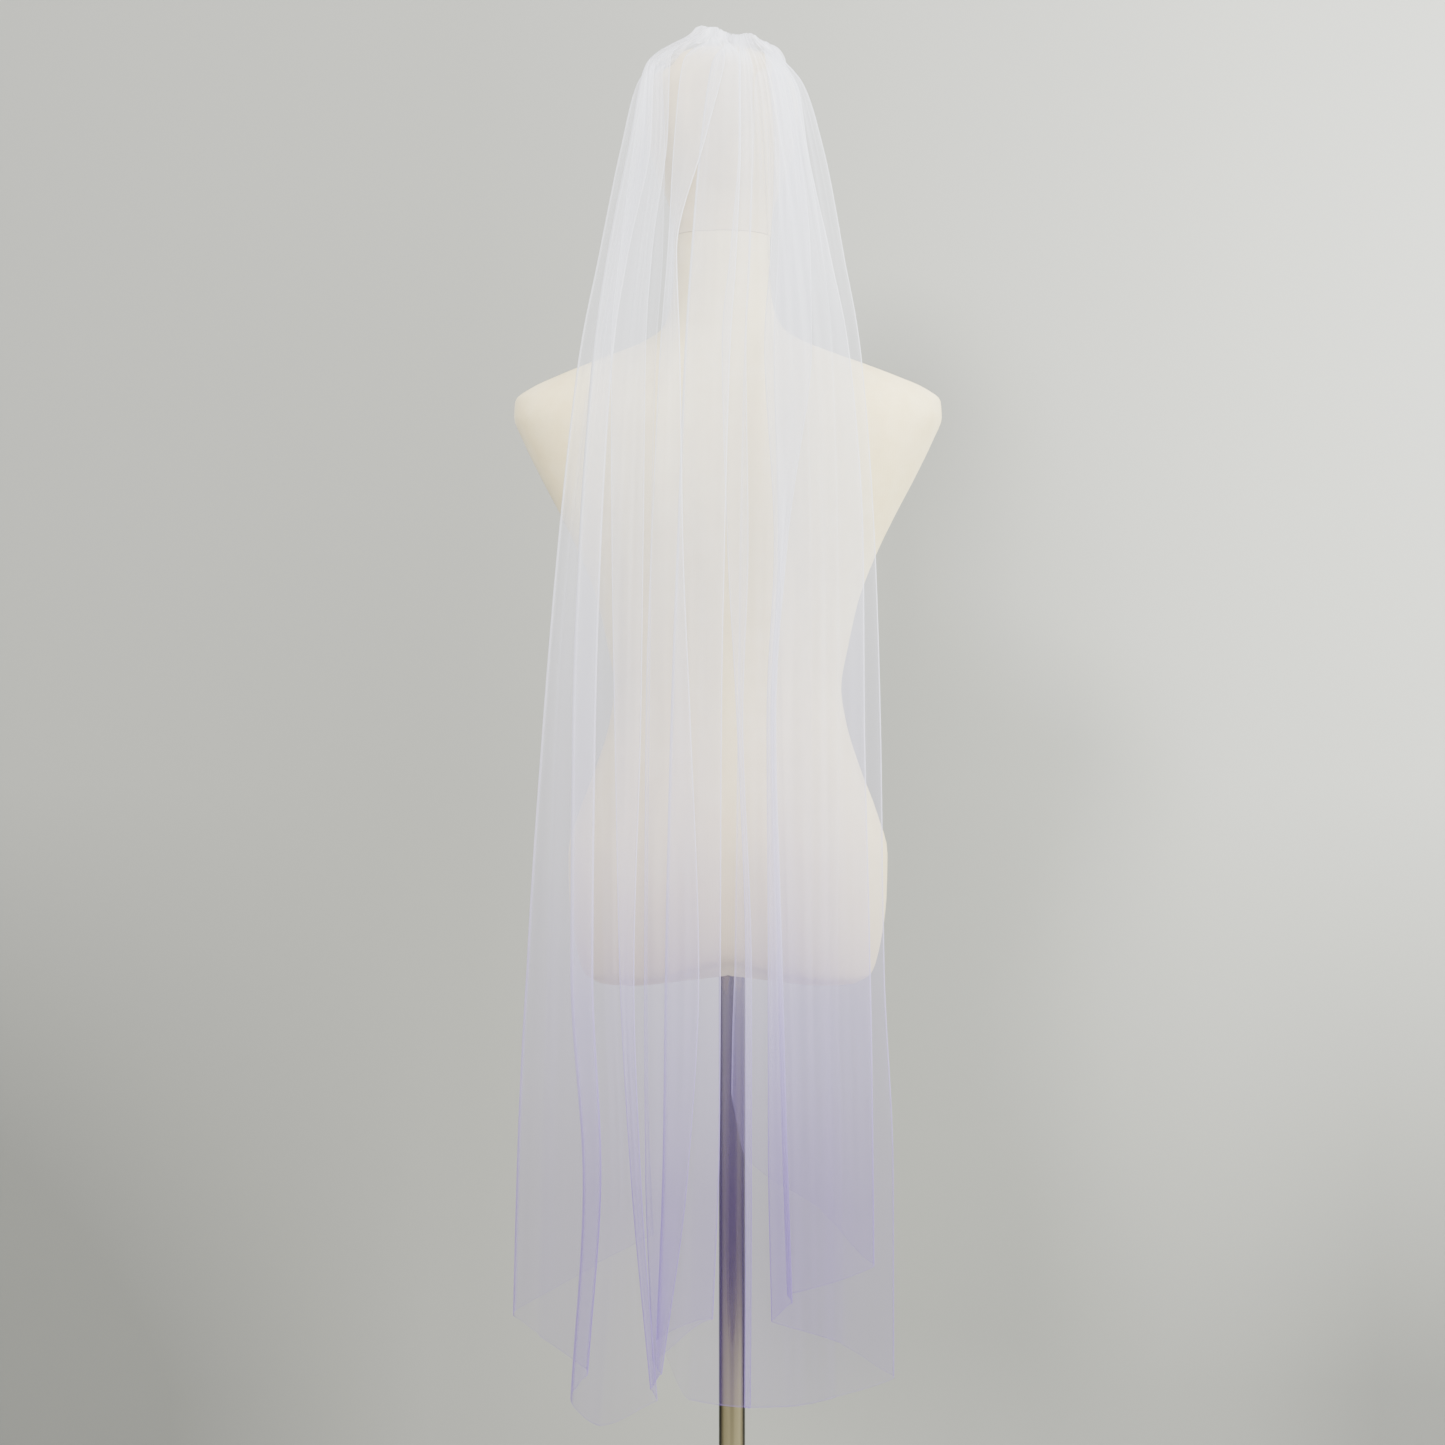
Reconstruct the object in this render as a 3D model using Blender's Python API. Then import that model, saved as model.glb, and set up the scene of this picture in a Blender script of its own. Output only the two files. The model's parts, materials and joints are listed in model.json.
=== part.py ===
"""A one-tier bridal veil of soft tulle, gathered on a comb, on a limbless dress form with a pole and base.

Metres, +Z up. The floor is z = 0 under the middle of the base. The veil hangs on the -Y side.
"""

import math

import bpy
import bmesh

# Dress form: heights above the floor.
HEAD_JOINT_Z = 1.496
FORM_BOTTOM_Z = 0.768
FORM_MIDDLE_X = -0.004
FORM_BOTTOM_Y = -0.008
HEAD_MIDDLE_X = -0.010
HEAD_CROWN_Y = -0.003
CROTCH_RISE = 0.020
CROTCH_HALF_WIDTH = 0.050
CROTCH_REACH = 0.060
BORE_OVERRUN = 0.020
FORM_SEGMENTS = 40
HEAD_SEGMENTS = 28
JOINT_GAP = 0.0003

# Pole, collar and base.
POLE_RADIUS = 0.0130
POLE_FOOT_Z = 0.0160
POLE_TOP_Z = 0.8600
POLE_EDGE = 0.0015
POLE_CLEARANCE = 0.0003
COLLAR_RADIUS = 0.0240
COLLAR_FOOT_Z = 0.7760
COLLAR_TOP_Z = 0.7905
COLLAR_EDGE = 0.0012
BASE_RADIUS = 0.1700
BASE_THICKNESS = 0.0140
BASE_EDGE = 0.0040
HUB_RADIUS = 0.0290
HUB_TOP_Z = 0.0620
ROUND_SEGMENTS = 32

# Comb: a bar arched over the crown, with teeth that follow the back of the head.
COMB_WIDTH = 0.0740
COMB_TOOTH_COUNT = 11
COMB_TOOTH_SHARE = 0.34
COMB_TIP_SHARE = 0.55
COMB_BAR_FRONT_Y = -0.0212
COMB_BAR_BACK_Y = -0.0256
COMB_BAR_TOP_Z = 1.6859
COMB_BAR_HEIGHT = 0.0022
COMB_TOOTH_PATH = ((-0.0300, 1.6826), (-0.0390, 1.6796), (-0.0470, 1.6758))
COMB_TOOTH_HEIGHT = 0.0012
CROWN_MIDDLE_X = -0.0080

# Veil: one panel of tulle with a raw edge.
CLOTH_WALL = 0.0010
CLEAR_STEP = 0.0014
GATHER_HALF_WIDTH = 0.0365
CREST_HALF_WIDTH = 0.0440
GATHER_WAVE = 0.0013
GATHER_COUNT = 9
FOLD_STEPS = (-90.0, 0.0, 90.0)
FOLD_RADIUS_MIN = 0.0020
FOLD_RADIUS_MAX = 0.0120
SHORT_LEG = 25
LONG_LEG = 60

# Levels down the veil. Height, lining curve (middle y, half width, depth), how far the layers are
# spread there, how far the cloth leans back, and the arch over the crown: its share and its middle.
# Knee is half way from the hips to the hem.
LEVEL_COLUMNS = (
    "name", "height", "middle_y", "half_width", "depth", "spread", "lean", "arch", "arch_x",
)
LEVELS = (
    ("gather", 1.6880, -0.0220, 0.120, 0.0020, 0.30, 70.0, 1.00, -0.008),
    ("crest", 1.6905, -0.0240, 0.110, 0.0130, 0.32, 56.0, 1.00, -0.008),
    ("bend", 1.6640, -0.0250, 0.105, 0.0400, 0.46, 30.0, 0.50, -0.005),
    ("crown", 1.6420, -0.0250, 0.107, 0.0680, 0.44, 16.0, 0.44, -0.026),
    ("head", 1.5700, -0.0280, 0.140, 0.0770, 0.44, 3.0, 0.15, -0.026),
    ("nape", 1.4650, -0.0280, 0.180, 0.0810, 0.50, 0.0, 0.00, -0.026),
    ("shoulder", 1.3710, -0.0280, 0.240, 0.0840, 0.54, 0.0, 0.00, -0.026),
    ("blade", 1.1900, -0.0280, 0.300, 0.0900, 0.60, 0.0, 0.00, -0.026),
    ("waist", 1.0200, -0.0280, 0.320, 0.0950, 0.66, 0.0, 0.00, -0.026),
    ("hip", 0.7880, -0.0280, 0.340, 0.1020, 0.74, 0.0, 0.00, -0.026),
    ("knee", 0.0, -0.0280, 0.360, 0.1070, 0.82, 0.0, 0.00, -0.026),
    ("hem", 0.0, -0.0280, 0.380, 0.1120, 0.90, 0.0, 0.00, -0.026),
)
CREST_LEVEL = 1
BEND_LEVEL = 2
HIP_LEVEL = 9
BEND_SHARE = 0.1
BEND_SPREAD = 1.25
EDGE_SHARE = 0.985
CREST_DROP_RADIUS = 0.100
ROWS_PER_LEVEL = (1, 2, 5, 3, 2, 2, 2, 2, 2, 2, 2)

# Folds of the veil from its left edge to its right edge, millimetres from the centre line at each
# level, the height of the hem, and how far the cloth after the fold lies out from the lining.
FOLD_COLUMNS = (
    "name", "crown", "head", "nape", "shoulder", "blade", "waist", "hip", "knee", "hem", "hem_z", "out",
)
CROWN = FOLD_COLUMNS.index("crown")
HEM = FOLD_COLUMNS.index("hem")
HEM_Z = FOLD_COLUMNS.index("hem_z")
OUT = FOLD_COLUMNS.index("out")
FOLDS = (
    ("left_edge", -67, -64, -66, -72, -76, -78, -80, -79, -74, 540, 0),
    ("far_left", -74, -81, -90, -101, -117, -122, -122, -124, -131, 510, 12),
    ("outer_left", -89, -107, -127, -145, -165, -179, -194, -202, -206, 465, 28),
    ("near_left", -83, -93, -113, -131, -154, -166, -173, -177, -181, 449, 38),
    ("a_right", -74, -77, -98, -112, -123, -128, -130, -122, -134, 416, 50),
    ("a_left", -83, -98, -118, -131, -144, -150, -151, -139, -150, 397, 79),
    ("lobe", -77, -79, -92, -103, -117, -122, -118, -111, -122, 374, 79),
    ("b_right", -58, -61, -75, -81, -83, -85, -91, -84, -69, 398, 72),
    ("b_left", -77, -93, -106, -114, -113, -110, -105, -94, -76, 407, 66),
    ("e_right", -7, -25, -52, -49, -46, -39, -31, -41, -65, 420, 61),
    ("e_left", -46, -55, -61, -68, -76, -81, -82, -81, -74, 431, 55),
    ("f_right", 8, 8, 4, -2, -7, -10, -11, -12, -18, 469, 49),
    ("f_left", -19, -30, -39, -45, -52, -58, -63, -65, -71, 446, 30),
    ("panel_left", -12, -19, -24, -28, -32, -33, -35, -37, -41, 391, 34),
    ("c_right", 19, 19, 17, 13, 15, 10, 18, 18, 17, 384, 38),
    ("c_left", 6, 6, -2, -10, -5, 4, 12, 12, 11, 385, 43),
    ("panel_mid", 22, 30, 34, 38, 44, 46, 52, 56, 58, 387, 49),
    ("panel_right", 35, 49, 64, 75, 87, 89, 91, 94, 96, 396, 54),
    ("outer_right", 66, 87, 105, 121, 134, 139, 142, 150, 150, 413, 46),
    ("l_two", 56, 70, 85, 94, 99, 100, 98, 101, 102, 443, 36),
    ("g_left", 33, 40, 36, 30, 39, 32, 33, 33, 36, 464, 30),
    ("g_band_right", 52, 64, 74, 75, 52, 41, 47, 51, 56, 480, 24),
    ("g_band_left", 38, 45, 43, 39, 43, 36, 42, 46, 51, 486, 18),
    ("inner_right", 63, 72, 93, 111, 124, 125, 130, 132, 133, 512, 10),
    ("l_four", 46, 53, 60, 69, 74, 74, 74, 77, 83, 564, 5),
    ("corner_right", 33, 34, 34, 32, 28, 24, 20, 17, 12, 614, 0),
    ("right_edge", 23, 19, 15, 11, 7, 5, 2, 0, -1, 672, 0),
)

# Torso sections in millimetres: height, middle x, half width, back y, front y, squareness.
TORSO = (
    (768, -4, 128, -98, 78, 2.5),
    (776, -4, 140, -108, 84, 2.5),
    (800, -4, 148, -116, 88, 2.5),
    (850, -4, 155, -121, 94, 2.4),
    (893, -4, 156, -118, 98, 2.4),
    (932, -4, 146, -108, 98, 2.3),
    (980, -4, 128, -92, 92, 2.3),
    (1020, -4, 116, -83, 88, 2.2),
    (1055, -4, 111, -80, 88, 2.2),
    (1096, -4, 118, -83, 95, 2.2),
    (1140, -4, 128, -90, 112, 2.2),
    (1180, -4, 143, -98, 126, 2.3),
    (1220, -4, 162, -105, 122, 2.4),
    (1260, -4, 183, -108, 104, 2.5),
    (1295, -4, 200, -107, 86, 2.6),
    (1318, -4, 209, -103, 72, 2.6),
    (1334, -4, 208, -97, 64, 2.5),
    (1346, -4, 194, -91, 58, 2.4),
    (1358, -5, 168, -84, 54, 2.3),
    (1370, -6, 138, -77, 52, 2.2),
    (1382, -7, 106, -71, 51, 2.1),
    (1394, -8, 77, -64, 51, 2.0),
    (1408, -9, 58, -57, 50, 2.0),
    (1430, -10, 50, -52, 48, 2.0),
    (1462, -10, 47, -49, 47, 2.0),
    (1484, -10, 47, -48, 48, 2.0),
    (1496, -10, 47, -48, 48, 2.0),
)
CLEFT_DEPTH = 0.010
CLEFT_HALF_WIDTH = 0.030
CLEFT_Z = 0.840
CLEFT_REACH = 0.075

# Head sections in millimetres, with the same columns as the torso.
HEAD = (
    (1496, -10, 48, -49, 50, 2.0),
    (1512, -10, 49, -51, 60, 2.0),
    (1530, -10, 53, -58, 74, 2.0),
    (1552, -10, 62, -75, 84, 2.0),
    (1578, -10, 70, -89, 90, 2.0),
    (1606, -10, 75, -96, 92, 2.0),
    (1630, -10, 74, -94, 88, 2.0),
    (1650, -10, 67, -84, 77, 2.0),
    (1665, -10, 55, -67, 60, 2.0),
    (1675, -10, 38, -46, 39, 2.0),
    (1680, -10, 20, -25, 18, 2.0),
)
HEAD_CROWN_Z = 1.682


def clear_objects():
    for item in list(bpy.data.objects):
        bpy.data.objects.remove(item, do_unlink=True)


def material(name, red, green, blue, roughness, metallic=0.0):
    made = bpy.data.materials.new(name)
    made.use_nodes = True
    shader = made.node_tree.nodes["Principled BSDF"]
    shader.inputs["Base Color"].default_value = (red, green, blue, 1.0)
    shader.inputs["Roughness"].default_value = roughness
    shader.inputs["Metallic"].default_value = metallic
    return made


def add_object(name, points, faces, finish, smooth=True):
    mesh = bpy.data.meshes.new(name)
    mesh.from_pydata(points, [], faces)
    mesh.materials.append(finish)
    shape = bmesh.new()
    shape.from_mesh(mesh)
    bmesh.ops.recalc_face_normals(shape, faces=shape.faces)
    for face in shape.faces:
        face.smooth = smooth
    shape.to_mesh(mesh)
    shape.free()
    item = bpy.data.objects.new(name, mesh)
    bpy.context.scene.collection.objects.link(item)
    return item


def monotone_slopes(values):
    """Slopes for a curve through the values that never overshoots them."""
    steps = [after - before for before, after in zip(values, values[1:])]
    slopes = [steps[0]]
    for before, after in zip(steps, steps[1:]):
        if before * after <= 0.0:
            slopes.append(0.0)
        else:
            slopes.append(2.0 * before * after / (before + after))
    slopes.append(steps[-1])
    return slopes


def curve_value(values, slopes, place):
    index = min(int(place), len(values) - 2)
    t = place - index
    start = values[index]
    end = values[index + 1]
    return (
        start * (1.0 + 2.0 * t) * (1.0 - t) ** 2
        + slopes[index] * t * (1.0 - t) ** 2
        + end * t * t * (3.0 - 2.0 * t)
        + slopes[index + 1] * t * t * (t - 1.0)
    )


def level_curves():
    """One smooth curve down the levels for each column of the level table."""
    curves = {}
    for column, name in enumerate(LEVEL_COLUMNS):
        if column > 0:
            values = [row[column] for row in LEVELS]
            if name == "height":
                values = values[:HIP_LEVEL + 1]
            curves[name] = (values, monotone_slopes(values))
    return curves


def stretch_counts():
    """Points between each two folds, more where the folds lie far apart."""
    counts = []
    for before, after in zip(FOLDS, FOLDS[1:]):
        widest = max(abs(after[column] - before[column]) for column in range(CROWN, HEM + 1))
        counts.append(0 if widest < SHORT_LEG else 1 if widest < LONG_LEG else 2)
    return counts


def fold_curves(counts):
    """The x of every fold down the levels, with the gathers and the crest put before the table."""
    curves = []
    total = sum(count + len(FOLD_STEPS) for count in counts)
    passed = 0
    for index, fold in enumerate(FOLDS):
        share = 2.0 * passed / total - 1.0
        crest = share * CREST_HALF_WIDTH
        bend = crest * BEND_SPREAD * (1.0 - BEND_SHARE) + 0.001 * fold[CROWN] * BEND_SHARE
        values = [share * GATHER_HALF_WIDTH, crest, bend]
        values += [millimetres * 0.001 for millimetres in fold[CROWN:HEM + 1]]
        curves.append((values, monotone_slopes(values)))
        if index < len(counts):
            passed += counts[index] + len(FOLD_STEPS)
    return curves


def eased(value):
    value = min(max(value, 0.0), 1.0)
    return value * value * (3.0 - 2.0 * value)


def laid_share(place):
    """Nothing on the comb, and one from the bend of the crown down, where the cloth is bunched."""
    return eased(place - CREST_LEVEL)


def fold_share(place):
    """Nothing above the bend, and one from the crown down, where the bunches lie in flat folds."""
    return eased(place - BEND_LEVEL)


def fold_shift(step, radius, count):
    """Distance along the stretch from the fold line to the end of its turn."""
    reach = min(radius, abs(step) / (count + len(FOLD_STEPS)))
    return math.copysign(reach, step)


def fold_radius(outs, index):
    return min(max(abs(outs[index] - outs[index - 1]) * 0.5, FOLD_RADIUS_MIN), FOLD_RADIUS_MAX)


def section_line(xs, hems, outs, counts):
    """Points (x, out, hem height) along the cloth at one level, from edge to edge."""
    line = [(xs[0], outs[0], hems[0])]
    last = len(counts) - 1
    for index, count in enumerate(counts):
        step = xs[index + 1] - xs[index]
        start = xs[index]
        end = xs[index + 1]
        if index > 0:
            start += fold_shift(step, fold_radius(outs, index), count)
        if index < last:
            end -= fold_shift(step, fold_radius(outs, index + 1), count)
        for number in range(1, count + 1):
            share = number / (count + 1)
            height = hems[index] + (hems[index + 1] - hems[index]) * share
            line.append((start + (end - start) * share, outs[index], height))
        if index < last:
            line += turn_points(xs, hems, outs, counts, index + 1)
    line.append((xs[-1], outs[-1], hems[-1]))
    return line


def bunched_outs(outs, counts):
    """The same distances as one even slope from stretch to stretch, a value for each point."""
    middles = []
    passed = 0
    for count in counts:
        middles.append(passed + 0.5 * (count + len(FOLD_STEPS)))
        passed += count + len(FOLD_STEPS)
    last = len(middles) - 1
    values = []
    index = 0
    for number in range(passed):
        while index < last and number > middles[index + 1]:
            index += 1
        start = min(index, last - 1)
        share = (number - middles[start]) / (middles[start + 1] - middles[start])
        values.append(outs[start] + (outs[start + 1] - outs[start]) * share)
    return values


def turn_points(xs, hems, outs, counts, index):
    """A rounded turn, or a soft step where the cloth runs on in the same direction."""
    radius = fold_radius(outs, index)
    middle = 0.5 * (outs[index] + outs[index - 1])
    half = 0.5 * (outs[index] - outs[index - 1])
    back = fold_shift(xs[index] - xs[index - 1], radius, counts[index - 1])
    ahead = fold_shift(xs[index + 1] - xs[index], radius, counts[index])
    points = []
    for degrees in FOLD_STEPS:
        angle = math.radians(degrees)
        shift = -back if degrees < 0.0 else ahead
        points.append((
            xs[index] + shift * (1.0 - math.cos(angle)),
            middle + half * math.sin(angle),
            hems[index],
        ))
    return points


def row_places():
    places = [0.0]
    for level, count in enumerate(ROWS_PER_LEVEL):
        for number in range(1, count + 1):
            places.append(level + number / count)
    return places


def crown_drop(x, middle_x=CROWN_MIDDLE_X):
    """How far the arch over the crown has fallen at this distance from its middle."""
    return (x - middle_x) ** 2 / (2.0 * CREST_DROP_RADIUS)


def veil_grid():
    """Rows of points on the middle of the cloth, from the gathers to the hem."""
    levels = level_curves()
    counts = stretch_counts()
    folds = fold_curves(counts)
    hem_values = [0.001 * fold[HEM_Z] for fold in FOLDS]
    hip_z = LEVELS[HIP_LEVEL][1]
    hem_level = len(LEVELS) - 1
    rows = []
    for place in row_places():
        xs = [curve_value(values, slopes, place) for values, slopes in folds]
        spread = curve_value(*levels["spread"], place)
        outs = [0.001 * fold[OUT] * spread for fold in FOLDS[:-1]]
        laid = laid_share(place)
        folded = fold_share(place)
        lean = math.radians(curve_value(*levels["lean"], place))
        middle_y = curve_value(*levels["middle_y"], place)
        half_width = curve_value(*levels["half_width"], place)
        depth = curve_value(*levels["depth"], place)
        arch = curve_value(*levels["arch"], place)
        arch_x = curve_value(*levels["arch_x"], place)
        row = []
        line = section_line(xs, hem_values, outs, counts)
        bunched = bunched_outs(outs, counts)
        for number, (x, out, hem) in enumerate(line):
            out = out * folded + bunched[min(number, len(bunched) - 1)] * (1.0 - folded)
            turn = 2.0 * math.pi * GATHER_COUNT * number / (len(line) - 1)
            out = out * laid + GATHER_WAVE * (1.0 - laid) * math.cos(turn)
            if place <= HIP_LEVEL:
                height = curve_value(*levels["height"], place)
            else:
                height = hip_z + (hem - hip_z) * (place - HIP_LEVEL) / (hem_level - HIP_LEVEL)
            height += out * math.sin(lean) - arch * crown_drop(x, arch_x)
            back = out * math.cos(lean)
            across = min(abs(x) / (half_width + back), EDGE_SHARE)
            y = middle_y - (depth + back) * math.sqrt(1.0 - across * across)
            row.append((x, y, height))
        rows.append(row)
    return rows


def sheet_solid(name, rows, wall, finish):
    """Closed body of even wall about a grid of points."""
    tall = len(rows)
    wide = len(rows[0])
    points = []
    for side in (0.5, -0.5):
        for r in range(tall):
            for c in range(wide):
                normal = grid_normal(rows, r, c)
                points.append([rows[r][c][axis] + normal[axis] * wall * side for axis in range(3)])
    faces = []
    count = tall * wide
    for r in range(tall - 1):
        for c in range(wide - 1):
            a = r * wide + c
            faces.append((a, a + 1, a + wide + 1, a + wide))
            faces.append((count + a, count + a + wide, count + a + wide + 1, count + a + 1))
    for r in range(tall - 1):
        for c in (0, wide - 1):
            a = r * wide + c
            faces.append((a, a + wide, count + a + wide, count + a))
    for c in range(wide - 1):
        for r in (0, tall - 1):
            a = r * wide + c
            faces.append((a, count + a, count + a + 1, a + 1))
    return add_object(name, points, faces, finish)


def direction(start, end):
    """Unit direction between two points, or nothing where they are one point."""
    step = [end[axis] - start[axis] for axis in range(3)]
    length = math.sqrt(sum(value * value for value in step))
    return [value / length for value in step] if length > 0.0 else step


def neighbour(row, c, side):
    """The nearest point to one side that is clear of the wall, or the edge of the cloth."""
    near = c
    while 0 <= near + side < len(row):
        near += side
        if math.dist(row[near], row[c]) > CLEAR_STEP:
            break
    return row[near]


def grid_normal(rows, r, c):
    here = rows[r][c]
    left = direction(neighbour(rows[r], c, -1), here)
    right = direction(here, neighbour(rows[r], c, 1))
    up = direction(rows[max(r - 1, 0)][c], here)
    down = direction(here, rows[min(r + 1, len(rows) - 1)][c])
    a = [left[axis] + right[axis] for axis in range(3)]
    b = [up[axis] + down[axis] for axis in range(3)]
    cross = (
        a[1] * b[2] - a[2] * b[1],
        a[2] * b[0] - a[0] * b[2],
        a[0] * b[1] - a[1] * b[0],
    )
    length = math.sqrt(sum(value * value for value in cross))
    return [value / length for value in cross]


def section_ring(section, segments):
    """One rounded section of the form. Angle zero points to the right, and the back is -Y."""
    height, middle_x, half_width, back, front, power = section
    ring = []
    for number in range(segments):
        angle = 2.0 * math.pi * number / segments
        cosine = math.cos(angle)
        sine = math.sin(angle)
        x = math.copysign(abs(cosine) ** (2.0 / power), cosine) * half_width
        reach = front if sine > 0.0 else -back
        y = math.copysign(abs(sine) ** (2.0 / power), sine) * reach
        ring.append([0.001 * (x + middle_x), 0.001 * y, 0.001 * height])
    return ring


def lofted_body(name, rings, bottom_point, top_point, finish):
    """Closed body through the rings, with a fan to a middle point at each end."""
    points = [point for ring in rings for point in ring]
    count = len(rings[0])
    faces = []
    for level in range(len(rings) - 1):
        for number in range(count):
            after = (number + 1) % count
            a = level * count
            faces.append((a + number, a + after, a + count + after, a + count + number))
    bottom = len(points)
    points.append(bottom_point)
    top = len(points)
    points.append(top_point)
    last = (len(rings) - 1) * count
    for number in range(count):
        after = (number + 1) % count
        faces.append((bottom, after, number))
        faces.append((top, last + number, last + after))
    return add_object(name, points, faces, finish)


def turned_body(name, profile, segments, finish):
    """Closed round body from (radius, height) pairs whose first and last radius is zero."""
    points = [(0.0, 0.0, profile[0][1])]
    for radius, height in profile[1:-1]:
        for number in range(segments):
            angle = 2.0 * math.pi * number / segments
            points.append((radius * math.cos(angle), radius * math.sin(angle), height))
    points.append((0.0, 0.0, profile[-1][1]))
    faces = []
    rings = len(profile) - 2
    top = len(points) - 1
    for number in range(segments):
        after = (number + 1) % segments
        faces.append((0, 1 + after, 1 + number))
        last = 1 + (rings - 1) * segments
        faces.append((top, last + number, last + after))
        for level in range(rings - 1):
            a = 1 + level * segments
            faces.append((a + number, a + after, a + segments + after, a + segments + number))
    return add_object(name, points, faces, finish)


def shape_torso(rings):
    """Raises the middle of the underside and presses in the cleft at the back."""
    for ring in rings:
        for point in ring:
            x = point[0] - FORM_MIDDLE_X
            low = max(0.0, 1.0 - (point[2] - FORM_BOTTOM_Z) / CROTCH_REACH)
            point[2] += CROTCH_RISE * low * math.exp(-((x / CROTCH_HALF_WIDTH) ** 2))
            if point[1] < 0.0:
                level = math.exp(-(((point[2] - CLEFT_Z) / CLEFT_REACH) ** 2))
                point[1] += CLEFT_DEPTH * level * math.exp(-((x / CLEFT_HALF_WIDTH) ** 2))


def build_form(jersey, head_finish):
    rings = [section_ring(section, FORM_SEGMENTS) for section in TORSO]
    shape_torso(rings)
    torso = lofted_body(
        "form_torso",
        rings,
        (FORM_MIDDLE_X, FORM_BOTTOM_Y, FORM_BOTTOM_Z + CROTCH_RISE),
        (HEAD_MIDDLE_X, 0.0, HEAD_JOINT_Z),
        jersey,
    )
    cut_bore(torso)
    rings = [section_ring(section, HEAD_SEGMENTS) for section in HEAD]
    for point in rings[0]:
        point[2] += JOINT_GAP
    lofted_body(
        "form_head",
        rings,
        (HEAD_MIDDLE_X, 0.0, HEAD_JOINT_Z + JOINT_GAP),
        (HEAD_MIDDLE_X, HEAD_CROWN_Y, HEAD_CROWN_Z),
        head_finish,
    )


def cut_bore(torso):
    """Blind hole up the middle of the torso for the collar and the pole."""
    recess = COLLAR_RADIUS + POLE_CLEARANCE
    recess_top = COLLAR_TOP_Z + POLE_CLEARANCE
    bore = POLE_RADIUS + POLE_CLEARANCE
    bore_top = POLE_TOP_Z + POLE_CLEARANCE
    below = FORM_BOTTOM_Z - BORE_OVERRUN
    profile = (
        (0.0, below),
        (recess, below),
        (recess, recess_top),
        (bore, recess_top),
        (bore, bore_top),
        (0.0, bore_top),
    )
    cutter = turned_body("bore_cutter", profile, ROUND_SEGMENTS, torso.data.materials[0])
    cutter.hide_render = True
    cutter.display_type = "WIRE"
    cut = torso.modifiers.new("bore", "BOOLEAN")
    cut.operation = "DIFFERENCE"
    cut.solver = "EXACT"
    cut.object = cutter


def turned_ring(name, profile, segments, finish):
    """Closed round body with a hole, from a loop of (radius, height) pairs."""
    points = []
    for radius, height in profile:
        for number in range(segments):
            angle = 2.0 * math.pi * number / segments
            points.append((radius * math.cos(angle), radius * math.sin(angle), height))
    faces = []
    for level in range(len(profile)):
        a = level * segments
        b = (level + 1) % len(profile) * segments
        for number in range(segments):
            after = (number + 1) % segments
            faces.append((a + number, a + after, b + after, b + number))
    return add_object(name, points, faces, finish)


def build_stand(chrome, plate, socket):
    turned_body(
        "pole",
        (
            (0.0, POLE_FOOT_Z),
            (POLE_RADIUS, POLE_FOOT_Z),
            (POLE_RADIUS, POLE_TOP_Z - POLE_EDGE),
            (POLE_RADIUS - POLE_EDGE, POLE_TOP_Z),
            (0.0, POLE_TOP_Z),
        ),
        ROUND_SEGMENTS,
        chrome,
    )
    hole = POLE_RADIUS + POLE_CLEARANCE
    turned_ring(
        "pole_collar",
        (
            (hole, COLLAR_FOOT_Z),
            (COLLAR_RADIUS - COLLAR_EDGE, COLLAR_FOOT_Z),
            (COLLAR_RADIUS, COLLAR_FOOT_Z + COLLAR_EDGE),
            (COLLAR_RADIUS, COLLAR_TOP_Z),
            (hole, COLLAR_TOP_Z),
        ),
        ROUND_SEGMENTS,
        socket,
    )
    turned_body(
        "base_plate",
        (
            (0.0, 0.0),
            (BASE_RADIUS - BASE_EDGE * 0.5, 0.0),
            (BASE_RADIUS, BASE_EDGE * 0.5),
            (BASE_RADIUS, BASE_THICKNESS - BASE_EDGE),
            (BASE_RADIUS - BASE_EDGE, BASE_THICKNESS),
            (HUB_RADIUS + BASE_EDGE, BASE_THICKNESS),
            (HUB_RADIUS, BASE_THICKNESS + BASE_EDGE),
            (HUB_RADIUS, HUB_TOP_Z - POLE_EDGE),
            (HUB_RADIUS - POLE_EDGE, HUB_TOP_Z),
            (hole, HUB_TOP_Z),
            (hole, POLE_FOOT_Z - POLE_CLEARANCE),
            (0.0, POLE_FOOT_Z - POLE_CLEARANCE),
        ),
        ROUND_SEGMENTS,
        plate,
    )


def comb_sections():
    """Middle y, middle z and height of the tooth sections, from the bar to the tip."""
    sections = [(COMB_BAR_BACK_Y, COMB_BAR_TOP_Z - 0.5 * COMB_BAR_HEIGHT, COMB_BAR_HEIGHT)]
    for y, z in COMB_TOOTH_PATH:
        sections.append((y, z, COMB_TOOTH_HEIGHT))
    return sections


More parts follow.
